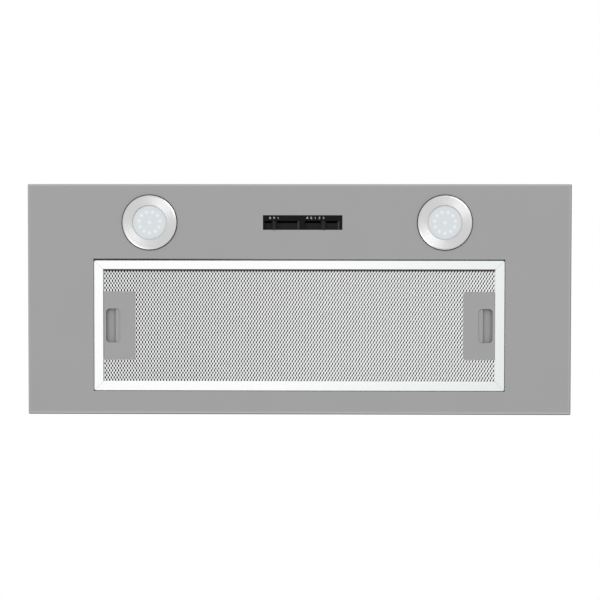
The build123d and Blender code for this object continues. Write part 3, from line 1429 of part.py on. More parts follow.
def lead_grommets():
    """Rubber rings where the leads pass through the blower box and the deck."""
    bore = MAIN_LEAD_RADIUS + LEAD_CLEAR
    t = HOUSING_SHEET
    neck = LEAD_GROMMET - LEAD_CLEAR
    hole = (MOTOR_LEAD_Y, MOTOR_LEAD_Z)
    side = tube("X", hole, (BOX_X - 2 * t, BOX_X + t), neck, bore)
    side = side + tube("X", hole, (BOX_X, BOX_X + 2 * t), LEAD_GROMMET + 2 * t, bore)
    deck = tube("Z", switch_lead_top(), (DECK_UNDER - t, DECK_TOP + TERMINAL_WALL), neck, bore)
    deck = deck + tube("Z", switch_lead_top(), (DECK_UNDER - 2 * t, DECK_UNDER), LEAD_GROMMET + 2 * t, bore)
    return group([side, deck])


def all_parts():
    """Every node of the hood by name."""
    left_lamp, right_lamp = LAMP_X
    light, fan = knob_places()
    rail_left = left_rail()
    rail_front = front_rail()
    filter_plane = Plane.XZ.offset(-FILTER_Y)
    end_plate = right_end_plate()
    clip = right_cabinet_clip()
    scroll = scroll_right_half()
    cover = left_latch_cover()
    tray = left_latch_tray()
    bolt = left_latch_bolt()
    spring = left_latch_spring()
    return {
        "face_panel": face_panel(),
        "housing_wrapper": housing_wrapper(),
        "left_end_plate": flipped(end_plate),
        "right_end_plate": end_plate,
        "housing_rivets": housing_rivets(),
        "blower_box": blower_box(),
        "sheet_screws": sheet_screws(),
        "outlet_collar": outlet_collar(),
        "flap_pin": flap_pin(),
        "front_flap": flap(-1, 0),
        "back_flap": flap(1, 1),
        "left_cabinet_clip": flipped(clip),
        "right_cabinet_clip": clip,
        "scroll_left_half": scroll_left_half(scroll),
        "scroll_right_half": scroll,
        "inlet_guard": inlet_guard(),
        "blower_wheel": wheel(),
        "motor_spider": motor_spider(),
        "spider_grommets": spider_grommets(),
        "motor_rear_bell": motor_rear_bell(),
        "motor_stator": motor_stator(),
        "motor_front_bell": motor_front_bell(),
        "motor_bearings": motor_bearings(),
        "motor_rotor": motor_rotor(),
        "motor_shaft": motor_shaft(),
        "terminal_box": terminal_box(),
        "terminal_lid": terminal_lid(),
        "terminal_block": terminal_block(),
        "cable_gland": cable_gland(),
        "motor_capacitor": motor_capacitor(),
        "led_driver": led_driver(),
        "lamp_leads": lamp_leads(),
        "main_leads": group([switch_lead(), motor_lead()]),
        "lead_grommets": lead_grommets(),
        "switch_housing": switch_housing(),
        "switch_board": switch_board(),
        "light_slider": slider(light[0]),
        "fan_slider": slider(fan[0]),
        "left_lamp_bezel": lamp_bezel(left_lamp),
        "right_lamp_bezel": lamp_bezel(right_lamp),
        "left_lamp_lens": lamp_lens(left_lamp),
        "right_lamp_lens": lamp_lens(right_lamp),
        "lamp_boards": group([lamp_board(x) for x in LAMP_X]),
        "lamp_leds": group([chip for x in LAMP_X for chip in lamp_leds(x)]),
        "lamp_bodies": group([lamp_body(x) for x in LAMP_X]),
        "lamp_gaskets": group([lamp_gasket(x) for x in LAMP_X]),
        "lamp_clips": group([clip_part for x in LAMP_X for clip_part in lamp_clips(x)]),
        "filter_left_rail": rail_left,
        "filter_right_rail": flipped(rail_left),
        "filter_front_rail": rail_front,
        "filter_back_rail": mirror(rail_front, about=filter_plane),
        "filter_mesh_front": mesh_sheet(level(RAIL_CURL), True),
        "filter_mesh_core": mesh_core(),
        "filter_mesh_back": mesh_sheet(level(FILTER_THICK - RAIL_SHEET - MESH_SHEET), False),
        "latch_covers": group([cover, flipped(cover)]),
        "latch_trays": group([tray, flipped(tray)]),
        "left_latch_bolt": bolt,
        "right_latch_bolt": flipped(bolt),
        "left_latch_spring": spring,
        "right_latch_spring": flipped(spring),
    }


os.makedirs("parts", exist_ok=True)
for name, shape in all_parts().items():
    export_step(shape, f"parts/{name}.step")
print(f"face {FACE_WIDTH:.1f} x {FACE_DEPTH:.1f} mm, top of collar {BOX_TOP + COLLAR_HEIGHT:.1f} mm")
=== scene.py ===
"""A built-in cooker hood seen from below: finishes, fine mesh and printed marks round its CAD model."""

import json
from math import pi, radians

import bmesh
import bpy
import numpy as np
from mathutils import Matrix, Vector


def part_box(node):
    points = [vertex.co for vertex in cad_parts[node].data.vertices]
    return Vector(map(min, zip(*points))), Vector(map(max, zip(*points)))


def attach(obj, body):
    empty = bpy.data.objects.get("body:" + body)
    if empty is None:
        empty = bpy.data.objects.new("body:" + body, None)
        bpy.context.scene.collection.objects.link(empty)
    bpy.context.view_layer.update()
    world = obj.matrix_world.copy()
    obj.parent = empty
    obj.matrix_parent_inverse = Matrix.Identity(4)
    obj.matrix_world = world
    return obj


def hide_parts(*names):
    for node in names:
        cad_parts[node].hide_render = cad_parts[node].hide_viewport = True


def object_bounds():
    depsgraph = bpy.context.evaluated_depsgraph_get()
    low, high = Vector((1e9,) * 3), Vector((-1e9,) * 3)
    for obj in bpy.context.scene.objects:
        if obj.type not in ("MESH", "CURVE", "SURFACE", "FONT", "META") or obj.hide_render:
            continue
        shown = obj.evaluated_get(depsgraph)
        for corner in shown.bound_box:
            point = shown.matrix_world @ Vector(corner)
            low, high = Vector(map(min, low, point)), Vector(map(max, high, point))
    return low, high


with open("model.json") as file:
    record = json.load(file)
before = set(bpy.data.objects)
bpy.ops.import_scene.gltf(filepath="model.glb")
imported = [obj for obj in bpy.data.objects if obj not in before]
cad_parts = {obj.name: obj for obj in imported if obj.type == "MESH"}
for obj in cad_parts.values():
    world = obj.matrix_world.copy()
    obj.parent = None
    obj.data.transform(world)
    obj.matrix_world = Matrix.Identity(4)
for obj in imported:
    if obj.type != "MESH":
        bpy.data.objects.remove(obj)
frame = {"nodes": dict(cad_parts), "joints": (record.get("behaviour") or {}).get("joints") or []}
cad_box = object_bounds()

# Housing: a long wrapper and two end plates folded from 0.8 mm hot-dip galvanised steel sheet.
# The zinc froze into flat crystals some 7 mm across, each with its own tone and gloss.
# The deck has pressed beads against drumming, and blind rivets join the corners.
ZINC_DARK = (0.47, 0.49, 0.51, 1)
ZINC_PALE = (0.58, 0.60, 0.62, 1)
ZINC_GLOSS = (0.30, 0.52)
CRYSTALS_PER_METRE = 150
RIPPLES_PER_METRE = 45
RIPPLE_DEPTH = 0.0004
RIPPLE_STRENGTH = 0.25


def node(tree, kind, inputs=None, **settings):
    """One shader node. Settings are its properties; each input is linked to a socket or set to a value."""
    made = tree.nodes.new("ShaderNode" + kind)
    for name, value in settings.items():
        setattr(made, name, value)
    for name, value in (inputs or {}).items():
        if isinstance(value, bpy.types.NodeSocket):
            tree.links.new(value, made.inputs[name])
        else:
            made.inputs[name].default_value = value
    return made


def new_material(name, **sockets):
    """A material with plain values on its shader; returns it with its tree and its object coordinates."""
    made = bpy.data.materials.new(name)
    made.use_nodes = True
    tree = made.node_tree
    for socket, value in sockets.items():
        tree.nodes["Principled BSDF"].inputs[socket.replace("_", " ")].default_value = value
    return made, tree, node(tree, "TexCoord").outputs["Object"]


def feed(material, **outputs):
    """Links outputs to the sockets of a material's shader that have their names, with _ for a space."""
    tree = material.node_tree
    for socket, output in outputs.items():
        tree.links.new(output, tree.nodes["Principled BSDF"].inputs[socket.replace("_", " ")])


def between(tree, share, low, high):
    """A colour that goes from low to high as share goes from 0 to 1."""
    mixed = node(tree, "Mix", {"Factor": share}, data_type="RGBA")
    for socket, value in ((mixed.inputs[6], low), (mixed.inputs[7], high)):
        if isinstance(value, bpy.types.NodeSocket):
            tree.links.new(value, socket)
        else:
            socket.default_value = value
    return mixed.outputs[2]


def ramp(tree, value, ends, levels=(0, 1), soft=False):
    """A number that goes from the first level to the second as value goes from the first end to the
    second, and stays level beyond them. Soft eases it in and out."""
    limits = {"From Min": ends[0], "From Max": ends[1], "To Min": levels[0], "To Max": levels[1]}
    shape = "SMOOTHSTEP" if soft else "LINEAR"
    return node(tree, "MapRange", {"Value": value, **limits}, interpolation_type=shape).outputs["Result"]


def bumped(tree, height, depth, strength=1.0):
    """The normal of a surface that stands out by depth, in metres, where height is 1."""
    return node(tree, "Bump", {"Height": height, "Distance": depth, "Strength": strength}).outputs["Normal"]


def dress(finish, *names):
    """Puts one finish on every material slot of these CAD nodes."""
    for name in names:
        for material_slot in frame["nodes"][name].material_slots:
            material_slot.material = finish


galvanised, tree, here = new_material("galvanised_sheet", Metallic=1.0)
crystal = node(tree, "TexVoronoi", {"Vector": here, "Scale": CRYSTALS_PER_METRE, "Randomness": 1.0})
facet = node(tree, "SeparateColor", {"Color": crystal.outputs["Color"]}).outputs
ripple = node(tree, "TexNoise", {"Vector": here, "Scale": RIPPLES_PER_METRE, "Detail": 2.0})
feed(
    galvanised,
    Base_Color=between(tree, facet["Red"], ZINC_DARK, ZINC_PALE),
    Roughness=ramp(tree, facet["Green"], (0, 1), ZINC_GLOSS),
    Normal=bumped(tree, ripple.outputs["Fac"], RIPPLE_DEPTH, RIPPLE_STRENGTH),
)
dress(galvanised, "housing_wrapper", "left_end_plate", "right_end_plate")

# Rivets: zinc-plated steel blind rivets, pressed heads outside and set tails inside.
# The plating is bright and even, with the fine grain of barrel-plated steel.
PLATED_DARK = (0.54, 0.54, 0.52, 1)
PLATED_PALE = (0.68, 0.68, 0.66, 1)
PLATED_SKIN = dict(gloss=(0.28, 0.42), fine=2600, broad=60, depth=4e-6, Metallic=1.0)
GRAIN_SPAN = (0.6, 1.4)


def new_group(name, inputs, outputs):
    """An empty shader node group; inputs and outputs map a socket's name to its kind."""
    made = bpy.data.node_groups.new(name, "ShaderNodeTree")
    for side, sockets in (("INPUT", inputs), ("OUTPUT", outputs)):
        for label, kind in sockets.items():
            made.interface.new_socket(label, in_out=side, socket_type="NodeSocket" + kind)
    return made, made.nodes.new("NodeGroupInput").outputs, made.nodes.new("NodeGroupOutput").inputs


def maths(tree, operation, *values):
    """The result of one Math node."""
    return node(tree, "Math", dict(enumerate(values)), operation=operation).outputs[0]


# Grain: two layers of noise, one as fine as the tool marks and one as broad as a hand.
# Tone is their mean, for colour and gloss, and Height is the fine layer, for the bump.
grain, given, wanted = new_group(
    "surface_grain",
    {"Vector": "Vector", "Fine": "Float", "Broad": "Float"},
    {"Tone": "Float", "Height": "Float"},
)
fine = node(grain, "TexNoise", {"Vector": given["Vector"], "Scale": given["Fine"], "Detail": 2.0})
broad = node(grain, "TexNoise", {"Vector": given["Vector"], "Scale": given["Broad"], "Detail": 3.0})
both = maths(grain, "ADD", fine.outputs["Fac"], broad.outputs["Fac"])
grain.links.new(ramp(grain, both, GRAIN_SPAN), wanted["Tone"])
grain.links.new(fine.outputs["Fac"], wanted["Height"])


def grained(name, dark, pale, gloss, fine, broad, depth, **sockets):
    """A finish with grain: dark to pale in colour, gloss = (low, high) in roughness, fine and broad in
    grains per metre, depth in metres."""
    made, tree, here = new_material(name, **sockets)
    marks = node(tree, "Group", {"Vector": here, "Fine": fine, "Broad": broad}, node_tree=grain).outputs
    feed(
        made,
        Base_Color=between(tree, marks["Tone"], dark, pale),
        Roughness=ramp(tree, marks["Tone"], (0, 1), gloss),
        Normal=bumped(tree, marks["Height"], depth),
    )
    return made


plated = grained("zinc_plating", PLATED_DARK, PLATED_PALE, **PLATED_SKIN)
dress(plated, "housing_rivets")

# Cabinet clips: two strips of plain spring steel riveted on the end plates, bent out so that
# they snap over the cabinet floor when the hood is pushed up through it.
SPRING_DARK = (0.36, 0.37, 0.39, 1)
SPRING_PALE = (0.50, 0.50, 0.51, 1)
SPRING_SKIN = dict(gloss=(0.26, 0.40), fine=1800, broad=40, depth=5e-6, Metallic=1.0)
spring_steel = grained("spring_steel", SPRING_DARK, SPRING_PALE, **SPRING_SKIN)
dress(spring_steel, "left_cabinet_clip", "right_cabinet_clip")

# Blower box: a folded box of the same galvanised sheet over the hole in the deck, open below.
# Zinc-plated pan-head screws hold its foot flange, the collar, the terminal lid and the motor's spider.
dress(galvanised, "blower_box")
dress(plated, "sheet_screws")

# Scroll: two halves of a volute moulded in black polypropylene, hung by their outlet plate under the
# box top. The mould was spark-eroded, so the skin is matt with a fine even grain.
MOULDED_DARK = (0.018, 0.018, 0.019, 1)
MOULDED_PALE = (0.034, 0.034, 0.036, 1)
MOULDED_SKIN = dict(gloss=(0.46, 0.60), fine=1500, broad=30, depth=1.2e-5, Specular_IOR_Level=0.4)
moulded_black = grained("moulded_black", MOULDED_DARK, MOULDED_PALE, **MOULDED_SKIN)
dress(moulded_black, "scroll_left_half", "scroll_right_half")

# Blower wheel: a double row of forward-curved blades moulded in one piece with its disc and hub.
# The wire guard over the open inlet is welded from zinc-plated rod.
dress(moulded_black, "blower_wheel")
dress(plated, "inlet_guard")

# Motor: a capacitor motor in the inlet, on a four-arm sheet spider with rubber grommets.
# Its bells are pressed steel, its stator and rotor are stacked punchings with fine edges.
STEEL_DARK = (0.34, 0.35, 0.37, 1)
STEEL_PALE = (0.47, 0.48, 0.50, 1)
STEEL_SKIN = dict(gloss=(0.30, 0.46), fine=1400, broad=50, depth=6e-6, Metallic=1.0)
PUNCHINGS_PER_METRE = 1000
PUNCHING_GLOSS = (0.34, 0.55)
RUBBER_DARK = (0.012, 0.012, 0.012, 1)
RUBBER_PALE = (0.028, 0.028, 0.028, 1)
RUBBER_SKIN = dict(gloss=(0.66, 0.82), fine=2200, broad=80, depth=1e-5, Specular_IOR_Level=0.25)


def axes(tree, vector):
    """The three numbers of a vector, by the names X, Y and Z."""
    return node(tree, "SeparateXYZ", {"Vector": vector}).outputs


motor_steel = grained("motor_steel", STEEL_DARK, STEEL_PALE, **STEEL_SKIN)
dress(motor_steel, "motor_rear_bell", "motor_front_bell")
punchings, tree, here = new_material("motor_punchings", Metallic=1.0)
turn = maths(tree, "MULTIPLY", axes(tree, here)["X"], PUNCHINGS_PER_METRE * 2 * pi)
edge = ramp(tree, maths(tree, "SINE", turn), (-1, 1))
feed(
    punchings,
    Base_Color=between(tree, edge, STEEL_DARK, STEEL_PALE),
    Roughness=ramp(tree, edge, (0, 1), PUNCHING_GLOSS),
)
dress(punchings, "motor_stator", "motor_rotor")
dress(spring_steel, "motor_shaft", "motor_bearings")
dress(galvanised, "motor_spider")
rubber = grained("black_rubber", RUBBER_DARK, RUBBER_PALE, **RUBBER_SKIN)
dress(rubber, "spider_grommets")

# Outlet: a moulded 120 mm collar screwed on the box, with two half-round flaps on one steel pin.
# The flaps close under their own weight and keep cold air out while the fan stands still.
dress(moulded_black, "outlet_collar", "front_flap", "back_flap")
dress(spring_steel, "flap_pin")

# Terminal box: a moulded box with a screwed lid on the deck, with a gland for the mains lead. Inside are
# a nylon terminal block and the motor's capacitor. The lamps' power supply stands on the face panel.
NYLON_DARK = (0.70, 0.70, 0.66, 1)
NYLON_PALE = (0.82, 0.82, 0.79, 1)
nylon = grained("white_nylon", NYLON_DARK, NYLON_PALE, gloss=(0.34, 0.48), fine=900, broad=25, depth=6e-6)
dress(moulded_black, "terminal_box", "terminal_lid", "cable_gland")
dress(nylon, "terminal_block", "motor_capacitor", "led_driver")

# Leads: round PVC-sheathed leads, one from each lamp to the power supply and one each from switch and
# motor to the terminal box, with rubber grommets where they go through deck and blower box.
SHEATH_DARK = (0.075, 0.076, 0.080, 1)
SHEATH_PALE = (0.115, 0.116, 0.122, 1)
sheath = grained("lead_sheath", SHEATH_DARK, SHEATH_PALE, gloss=(0.42, 0.56), fine=1600, broad=30, depth=8e-6)
dress(sheath, "lamp_leads", "main_leads")
dress(rubber, "lead_grommets")

# Face panel: one pan of 1 mm steel sheet with a folded rim, cut out for filter, lamps and switch, and
# sprayed in a plain silver-grey paint that dries to a fine orange peel. Its bends and the right of the lip
# before the filter are painted paler, a painted highlight, and the back and right bends and the left of the
# lip are painted dark, a painted shade.
PAINT_DARK = (0.323, 0.323, 0.323, 1)
PAINT_PALE = (0.335, 0.335, 0.335, 1)
PAINT_HIGHLIGHT = (0.402, 0.402, 0.402, 1)
PAINT_SHADE = (0.060, 0.060, 0.060, 1)
BEND = 0.0014
LIGHT_SHADE_TOP = 0.8 * BEND
HIGHLIGHT_NEAR = 0.0010
HIGHLIGHT_FRONT = 0.0016
HIGHLIGHT_BACK = 0.0034
SIDE_HIGHLIGHT = 0.5
SHADE_FROM = 0.95 * BEND
SHADE_TO = 0.65 * BEND
SIDE_SHADE = 0.75
LIP_WIDTH = 0.006
LIP_TURN = (0.05, 0.35)
LIP_SHADE = (-0.04, -0.19)
LIP_HIGHLIGHT = (-0.08, 0.02)


def facing(tree):
    """The way the surface faces, as three numbers."""
    return axes(tree, node(tree, "NewGeometry").outputs["Normal"])


def greatest(tree, mask, *others):
    """The greatest of several masks."""
    for other in others:
        mask = maths(tree, "MAXIMUM", mask, other)
    return mask


def opened(finish):
    """A finish's tree, object coordinates and present colour, for marks that are laid over it."""
    tree = finish.node_tree
    colour = tree.nodes["Principled BSDF"].inputs["Base Color"].links[0].from_socket
    return tree, node(tree, "TexCoord").outputs["Object"], colour


paint = grained("silver_paint", PAINT_DARK, PAINT_PALE, gloss=(0.40, 0.48), fine=700, broad=12, depth=3e-6)
tree, here, sprayed = opened(paint)
place = axes(tree, here)
low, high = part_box("face_panel")
flat_low, flat_high = low + Vector((BEND, BEND, 0)), high - Vector((BEND, BEND, 0))
front_ends = (flat_low.y + HIGHLIGHT_FRONT, flat_low.y + HIGHLIGHT_NEAR)
back_ends = (flat_high.y - HIGHLIGHT_BACK, flat_high.y - HIGHLIGHT_NEAR)
left_ends = (flat_low.x + HIGHLIGHT_FRONT, flat_low.x + HIGHLIGHT_NEAR)
right_ends = (flat_high.x - HIGHLIGHT_BACK, flat_high.x - HIGHLIGHT_NEAR)
near_lip = maths(tree, "COMPARE", place["Y"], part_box("filter_front_rail")[0].y, LIP_WIDTH)
lip = maths(tree, "MULTIPLY", ramp(tree, facing(tree)["Y"], LIP_TURN), near_lip)
# Painted highlight: the paint is paler along the bends and on the right of the lip.
painted_highlight = greatest(
    tree,
    ramp(tree, place["Y"], front_ends, soft=True),
    ramp(tree, place["Y"], back_ends, soft=True),
    ramp(tree, place["X"], left_ends, (0, SIDE_HIGHLIGHT), soft=True),
    ramp(tree, place["X"], right_ends, (0, SIDE_HIGHLIGHT), soft=True),
    maths(tree, "MULTIPLY", lip, ramp(tree, place["X"], LIP_HIGHLIGHT)),
)
# Painted shade: the paint is dark along the back and right bends and on the left of the lip.
painted_shade = greatest(
    tree,
    ramp(tree, place["Y"], (high.y - SHADE_FROM, high.y - SHADE_TO)),
    ramp(tree, place["X"], (high.x - SHADE_FROM, high.x - SHADE_TO), (0, SIDE_SHADE)),
    maths(tree, "MULTIPLY", lip, ramp(tree, place["X"], LIP_SHADE)),
)
below = ramp(tree, place["Z"], (low.z + BEND, low.z + LIGHT_SHADE_TOP))
highlighted_paint = between(tree, maths(tree, "MULTIPLY", painted_highlight, below), sprayed, PAINT_HIGHLIGHT)
feed(paint, Base_Color=between(tree, maths(tree, "MULTIPLY", painted_shade, below), highlighted_paint, PAINT_SHADE))
dress(paint, "face_panel")

# Switch: a black ABS housing behind its cut-out, with a printed strip over two pockets and a moulded
# slider in each. The strip is smooth and deep black, pockets and sliders are greyer, and the pockets'
# sloped right ends are painted pale, a painted highlight. The board behind it carries the contacts.
ABS_DARK = (0.0035, 0.0035, 0.0036, 1)
ABS_PALE = (0.0065, 0.0065, 0.0068, 1)
POCKET_GREY = (0.0145, 0.0145, 0.0148, 1)
SLOPE_HIGHLIGHT_GREY = (0.090, 0.090, 0.091, 1)
SLIDER_DARK = (0.0155, 0.0155, 0.0158, 1)
SLIDER_PALE = (0.0205, 0.0205, 0.0208, 1)
ABS_SKIN = dict(gloss=(0.40, 0.52), fine=1800, broad=40, depth=5e-6, Specular_IOR_Level=0.1)
POCKET_RISE = 0.0030
SLOPE_TURN = (-0.6, -0.85)
PHENOLIC_DARK = (0.010, 0.007, 0.005, 1)
PHENOLIC_PALE = (0.018, 0.012, 0.009, 1)
PHENOLIC_SKIN = dict(gloss=(0.55, 0.70), fine=900, broad=40, depth=6e-6, Specular_IOR_Level=0.1)
slider_black = grained("slider_black", SLIDER_DARK, SLIDER_PALE, **ABS_SKIN)
dress(slider_black, "light_slider", "fan_slider")
pocketed = grained("switch_housing_black", ABS_DARK, ABS_PALE, **ABS_SKIN)
tree, here, smooth = opened(pocketed)
strip_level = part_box("switch_housing")[0].z
deep = ramp(tree, axes(tree, here)["Z"], (strip_level, strip_level + POCKET_RISE))
# Painted highlight: faces turned to the left, the pockets' sloped right ends, are painted pale.
slope_highlight = ramp(tree, facing(tree)["X"], SLOPE_TURN)
skin = between(tree, deep, smooth, POCKET_GREY)
feed(pocketed, Base_Color=between(tree, slope_highlight, skin, SLOPE_HIGHLIGHT_GREY))
dress(pocketed, "switch_housing")
phenolic = grained("phenolic_board", PHENOLIC_DARK, PHENOLIC_PALE, **PHENOLIC_SKIN)
dress(phenolic, "switch_board")

# Marks: pad-printed on the strip in pale grey ink, 0.04 mm thick. A bulb between 0 and 1 stands
# over the light slider, and a fan before 0, 1, 2 and 3 over the fan slider, one slide step apart.
INK_DARK = (0.58, 0.58, 0.58, 1)
INK_PALE = (0.72, 0.72, 0.72, 1)
INK_LINE = 0.00044
INK_THICK = 0.00004
MARK_HALF = 0.00130
MARK_FORWARD = 0.00595


def tubes(rings, closed=False):
    """Rings is (tubes, stations, corners, 3): each ring is joined to the next, and the ends are capped
    or, if closed, the last ring is joined to the first. Returns points and four-cornered faces."""
    count, stations, corners, _ = rings.shape
    index = np.arange(count * stations * corners).reshape(count, stations, corners)
    after = np.roll(index, -1, axis=1) if closed else index[:, 1:]
    before = index if closed else index[:, :-1]
    walls = np.stack([before, np.roll(before, -1, 2), np.roll(after, -1, 2), after], axis=-1).reshape(-1, 4)
    caps = np.empty((0, 4), int) if closed else np.concatenate([index[:, 0, ::-1], index[:, -1]])
    return rings.reshape(-1, 3), np.concatenate([walls, caps])


def join(*shapes):
    """One set of points and faces from several."""
    starts = np.cumsum([0] + [len(points) for points, _ in shapes[:-1]])
    faces = [corners + start for (_, corners), start in zip(shapes, starts)]
    return np.concatenate([points for points, _ in shapes]), np.concatenate(faces)


def new_piece(name, points, faces, finish, body, slot):
    """A mesh object at the origin with its faces turned outwards, riding on a body."""
    mesh = bpy.data.meshes.new(name)
    mesh.from_pydata(points.tolist(), [], faces.tolist())
    shape = bmesh.new()
    shape.from_mesh(mesh)
    bmesh.ops.recalc_face_normals(shape, faces=shape.faces)
    shape.to_mesh(mesh)
    shape.free()
    mesh.materials.append(finish)
    made = bpy.data.objects.new(name, mesh)
    bpy.context.scene.collection.objects.link(made)
    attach(made, body)
    return made


def middle(name):
    """The middle of a node's box."""
    low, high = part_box(name)
    return (low + high) / 2


def stroke(line, place, closed=False):
    """A line of ink: a flat bar carried along line, whose points are in half mark heights, x right and
    y up as read. Each station's bar is square to the mean of its two runs. Read from below, up is -Y."""
    line = np.asarray(line, float)
    runs = np.roll(line, -1, 0) - np.roll(line, 1, 0)
    if not closed:
        runs[0], runs[-1] = line[1] - line[0], line[-1] - line[-2]
    runs /= np.linalg.norm(runs, axis=1, keepdims=True)
    side = np.stack([-runs[:, 1], runs[:, 0]], axis=1) * INK_LINE / 2
    flat = line * MARK_HALF
    corners = np.stack([flat + side, flat - side, flat - side, flat + side], axis=1)
    levels = strip_level - np.array([0, 0, INK_THICK, INK_THICK])
    x, y = place[0] + corners[..., 0], place[1] - corners[..., 1]
    return tubes(np.stack([x, y, np.broadcast_to(levels, x.shape)], axis=-1)[None], closed)


def arc(centre, radius, start, end, count=16):
    """Points on an ellipse: centre plus radius times the cosine and sine of even turns, in degrees."""
    turn = np.radians(np.linspace(start, end, count))
    return np.stack([centre[0] + radius[0] * np.cos(turn), centre[1] + radius[1] * np.sin(turn)], axis=1)


def turned(line, degrees):
    """Points turned about the mark's middle, each multiplied by the turn's cosines and sines."""
    angle = np.radians(degrees)
    return line @ np.array([[np.cos(angle), np.sin(angle)], [-np.sin(angle), np.cos(angle)]])


# Each mark is a list of lines, with a word on whether the line closes on itself.
zero = [(arc((0, 0), (0.56, 0.9), 0, 345, 24), True)]
one = [([(-0.36, 0.5), (0.06, 0.9), (0.06, -0.9)], False)]
two = [(np.concatenate([arc((0, 0.4), (0.52, 0.5), 165, -35), [(-0.5, -0.88), (0.56, -0.88)]]), False)]
upper, lower = arc((0, 0.45), (0.46, 0.45), 150, -80), arc((0, -0.42), (0.54, 0.48), 80, -150)
three = [(np.concatenate([upper, lower]), False)]
bulb = [
    (arc((0, 0.3), (0.58, 0.58), -60, 240, 24), False),
    ([(-0.28, -0.5), (0.28, -0.5)], False),
    ([(-0.22, -0.88), (0.22, -0.88)], False),
]
blade = arc((0.5, 0), (0.42, 0.26), 0, 345, 24)
fan = [(turned(blade, way), True) for way in (90, 210, 330)] + [(arc((0, 0), (0.1, 0.1), 0, 315, 8), True)]
slide = next(joint for joint in frame["joints"] if joint["name"] == "light_slide")["range_m"][1]
light_x, fan_x = middle("light_slider").x, middle("fan_slider").x
printed = [(mark, light_x + slide * step) for step, mark in enumerate((zero, bulb, one), -1)]
printed += [(mark, fan_x + slide * step) for step, mark in enumerate((fan, zero, one, two, three), -4)]
mark_y = middle("switch_housing").y - MARK_FORWARD
strokes = [stroke(line, (x, mark_y), closed) for mark, x in printed for line, closed in mark]
ink = grained("legend_ink", INK_DARK, INK_PALE, gloss=(0.5, 0.6), fine=2400, broad=200, depth=2e-6)
new_piece("switch_legend", *join(*strokes), ink, "hood", "white_plastic")

# Lamps: a spun aluminium shell with a board of twelve light sources behind each hole in the face.
# Two spring clips hold it up, and a black rubber gasket shows as a thin ring round the bezel.
SHELL_DARK = (0.53, 0.54, 0.55, 1)
SHELL_PALE = (0.66, 0.67, 0.68, 1)
SHELL_SKIN = dict(gloss=(0.36, 0.50), fine=900, broad=40, depth=6e-6, Metallic=1.0)
BOARD_DARK = (0.72, 0.72, 0.68, 1)
BOARD_PALE = (0.82, 0.82, 0.80, 1)
shell = grained("lamp_shell", SHELL_DARK, SHELL_PALE, **SHELL_SKIN)
board = grained("circuit_board", BOARD_DARK, BOARD_PALE, gloss=(0.40, 0.55), fine=1200, broad=60, depth=4e-6)
dress(shell, "lamp_bodies")
dress(board, "lamp_boards")
dress(nylon, "lamp_leds")
dress(spring_steel, "lamp_clips")
dress(rubber, "lamp_gaskets")

# Bezels: turned from stainless steel and brushed round on the lathe, so the light
# fans out across the fine circular lines and makes two bright and two dull sectors.
BEZEL_DARK = (0.56, 0.56, 0.56, 1)
BEZEL_PALE = (0.66, 0.66, 0.66, 1)
BEZEL_GLOSS = (0.34, 0.46)
LATHE_LINES_PER_METRE = 1400
LATHE_DEPTH = 3e-6


def vectors(tree, operation, *values):
    """The result of one Vector Math node: a number for a length or a dot product, or else a vector."""
    made = node(tree, "VectorMath", dict(enumerate(values)), operation=operation)
    return made.outputs["Value" if operation in ("LENGTH", "DOT_PRODUCT") else "Vector"]


def out_from(tree, here, name):
    """The level way out from the middle of a node's box to a point of its surface."""
    return vectors(tree, "MULTIPLY", vectors(tree, "SUBTRACT", here, middle(name)), (1, 1, 0))


# Lathe lines: a noise of the distance out from the lamp's middle, so each line is a whole ring.
lathe, given, wanted = new_group("lathe_lines", {"Out": "Vector"}, {"Tone": "Float"})
radius = vectors(lathe, "LENGTH", given["Out"])
cut = node(lathe, "TexNoise", {"W": radius, "Scale": LATHE_LINES_PER_METRE}, noise_dimensions="1D")
lathe.links.new(cut.outputs["Fac"], wanted["Tone"])
for side in ("left", "right"):
    name = side + "_lamp_bezel"
    brushed, tree, here = new_material("brushed_" + name, Metallic=1.0, Anisotropic=0.65)
    out = out_from(tree, here, name)
    lines = node(tree, "Group", {"Out": out}, node_tree=lathe).outputs["Tone"]
    feed(
        brushed,
        Base_Color=between(tree, lines, BEZEL_DARK, BEZEL_PALE),
        Roughness=ramp(tree, lines, (0, 1), BEZEL_GLOSS),
        Normal=bumped(tree, lines, LATHE_DEPTH),
        Tangent=vectors(tree, "NORMALIZE", out),
    )
    dress(brushed, name)

# Lenses: frosted polycarbonate discs held behind the bezels. With the lamps off, the light sources
# show through as twelve soft pale spots, eleven in a ring and one in the middle, and the disc is
# greyer at its rim, where the bezel shades it.
FROST = (0.665, 0.70, 0.725, 1)
FROST_SPOT = (0.82, 0.86, 0.89, 1)
FROST_RIM = (0.50, 0.515, 0.53, 1)
FROST_GLOSS = (0.32, 0.46)
FROST_GRAINS_PER_METRE = 1600
FROST_DEPTH = 4e-6
SPOTS = 11
SPOT_RING = 0.0135
SPOT_RADIUS = 0.0034
RIM_ENDS = (0.0204, 0.0222)

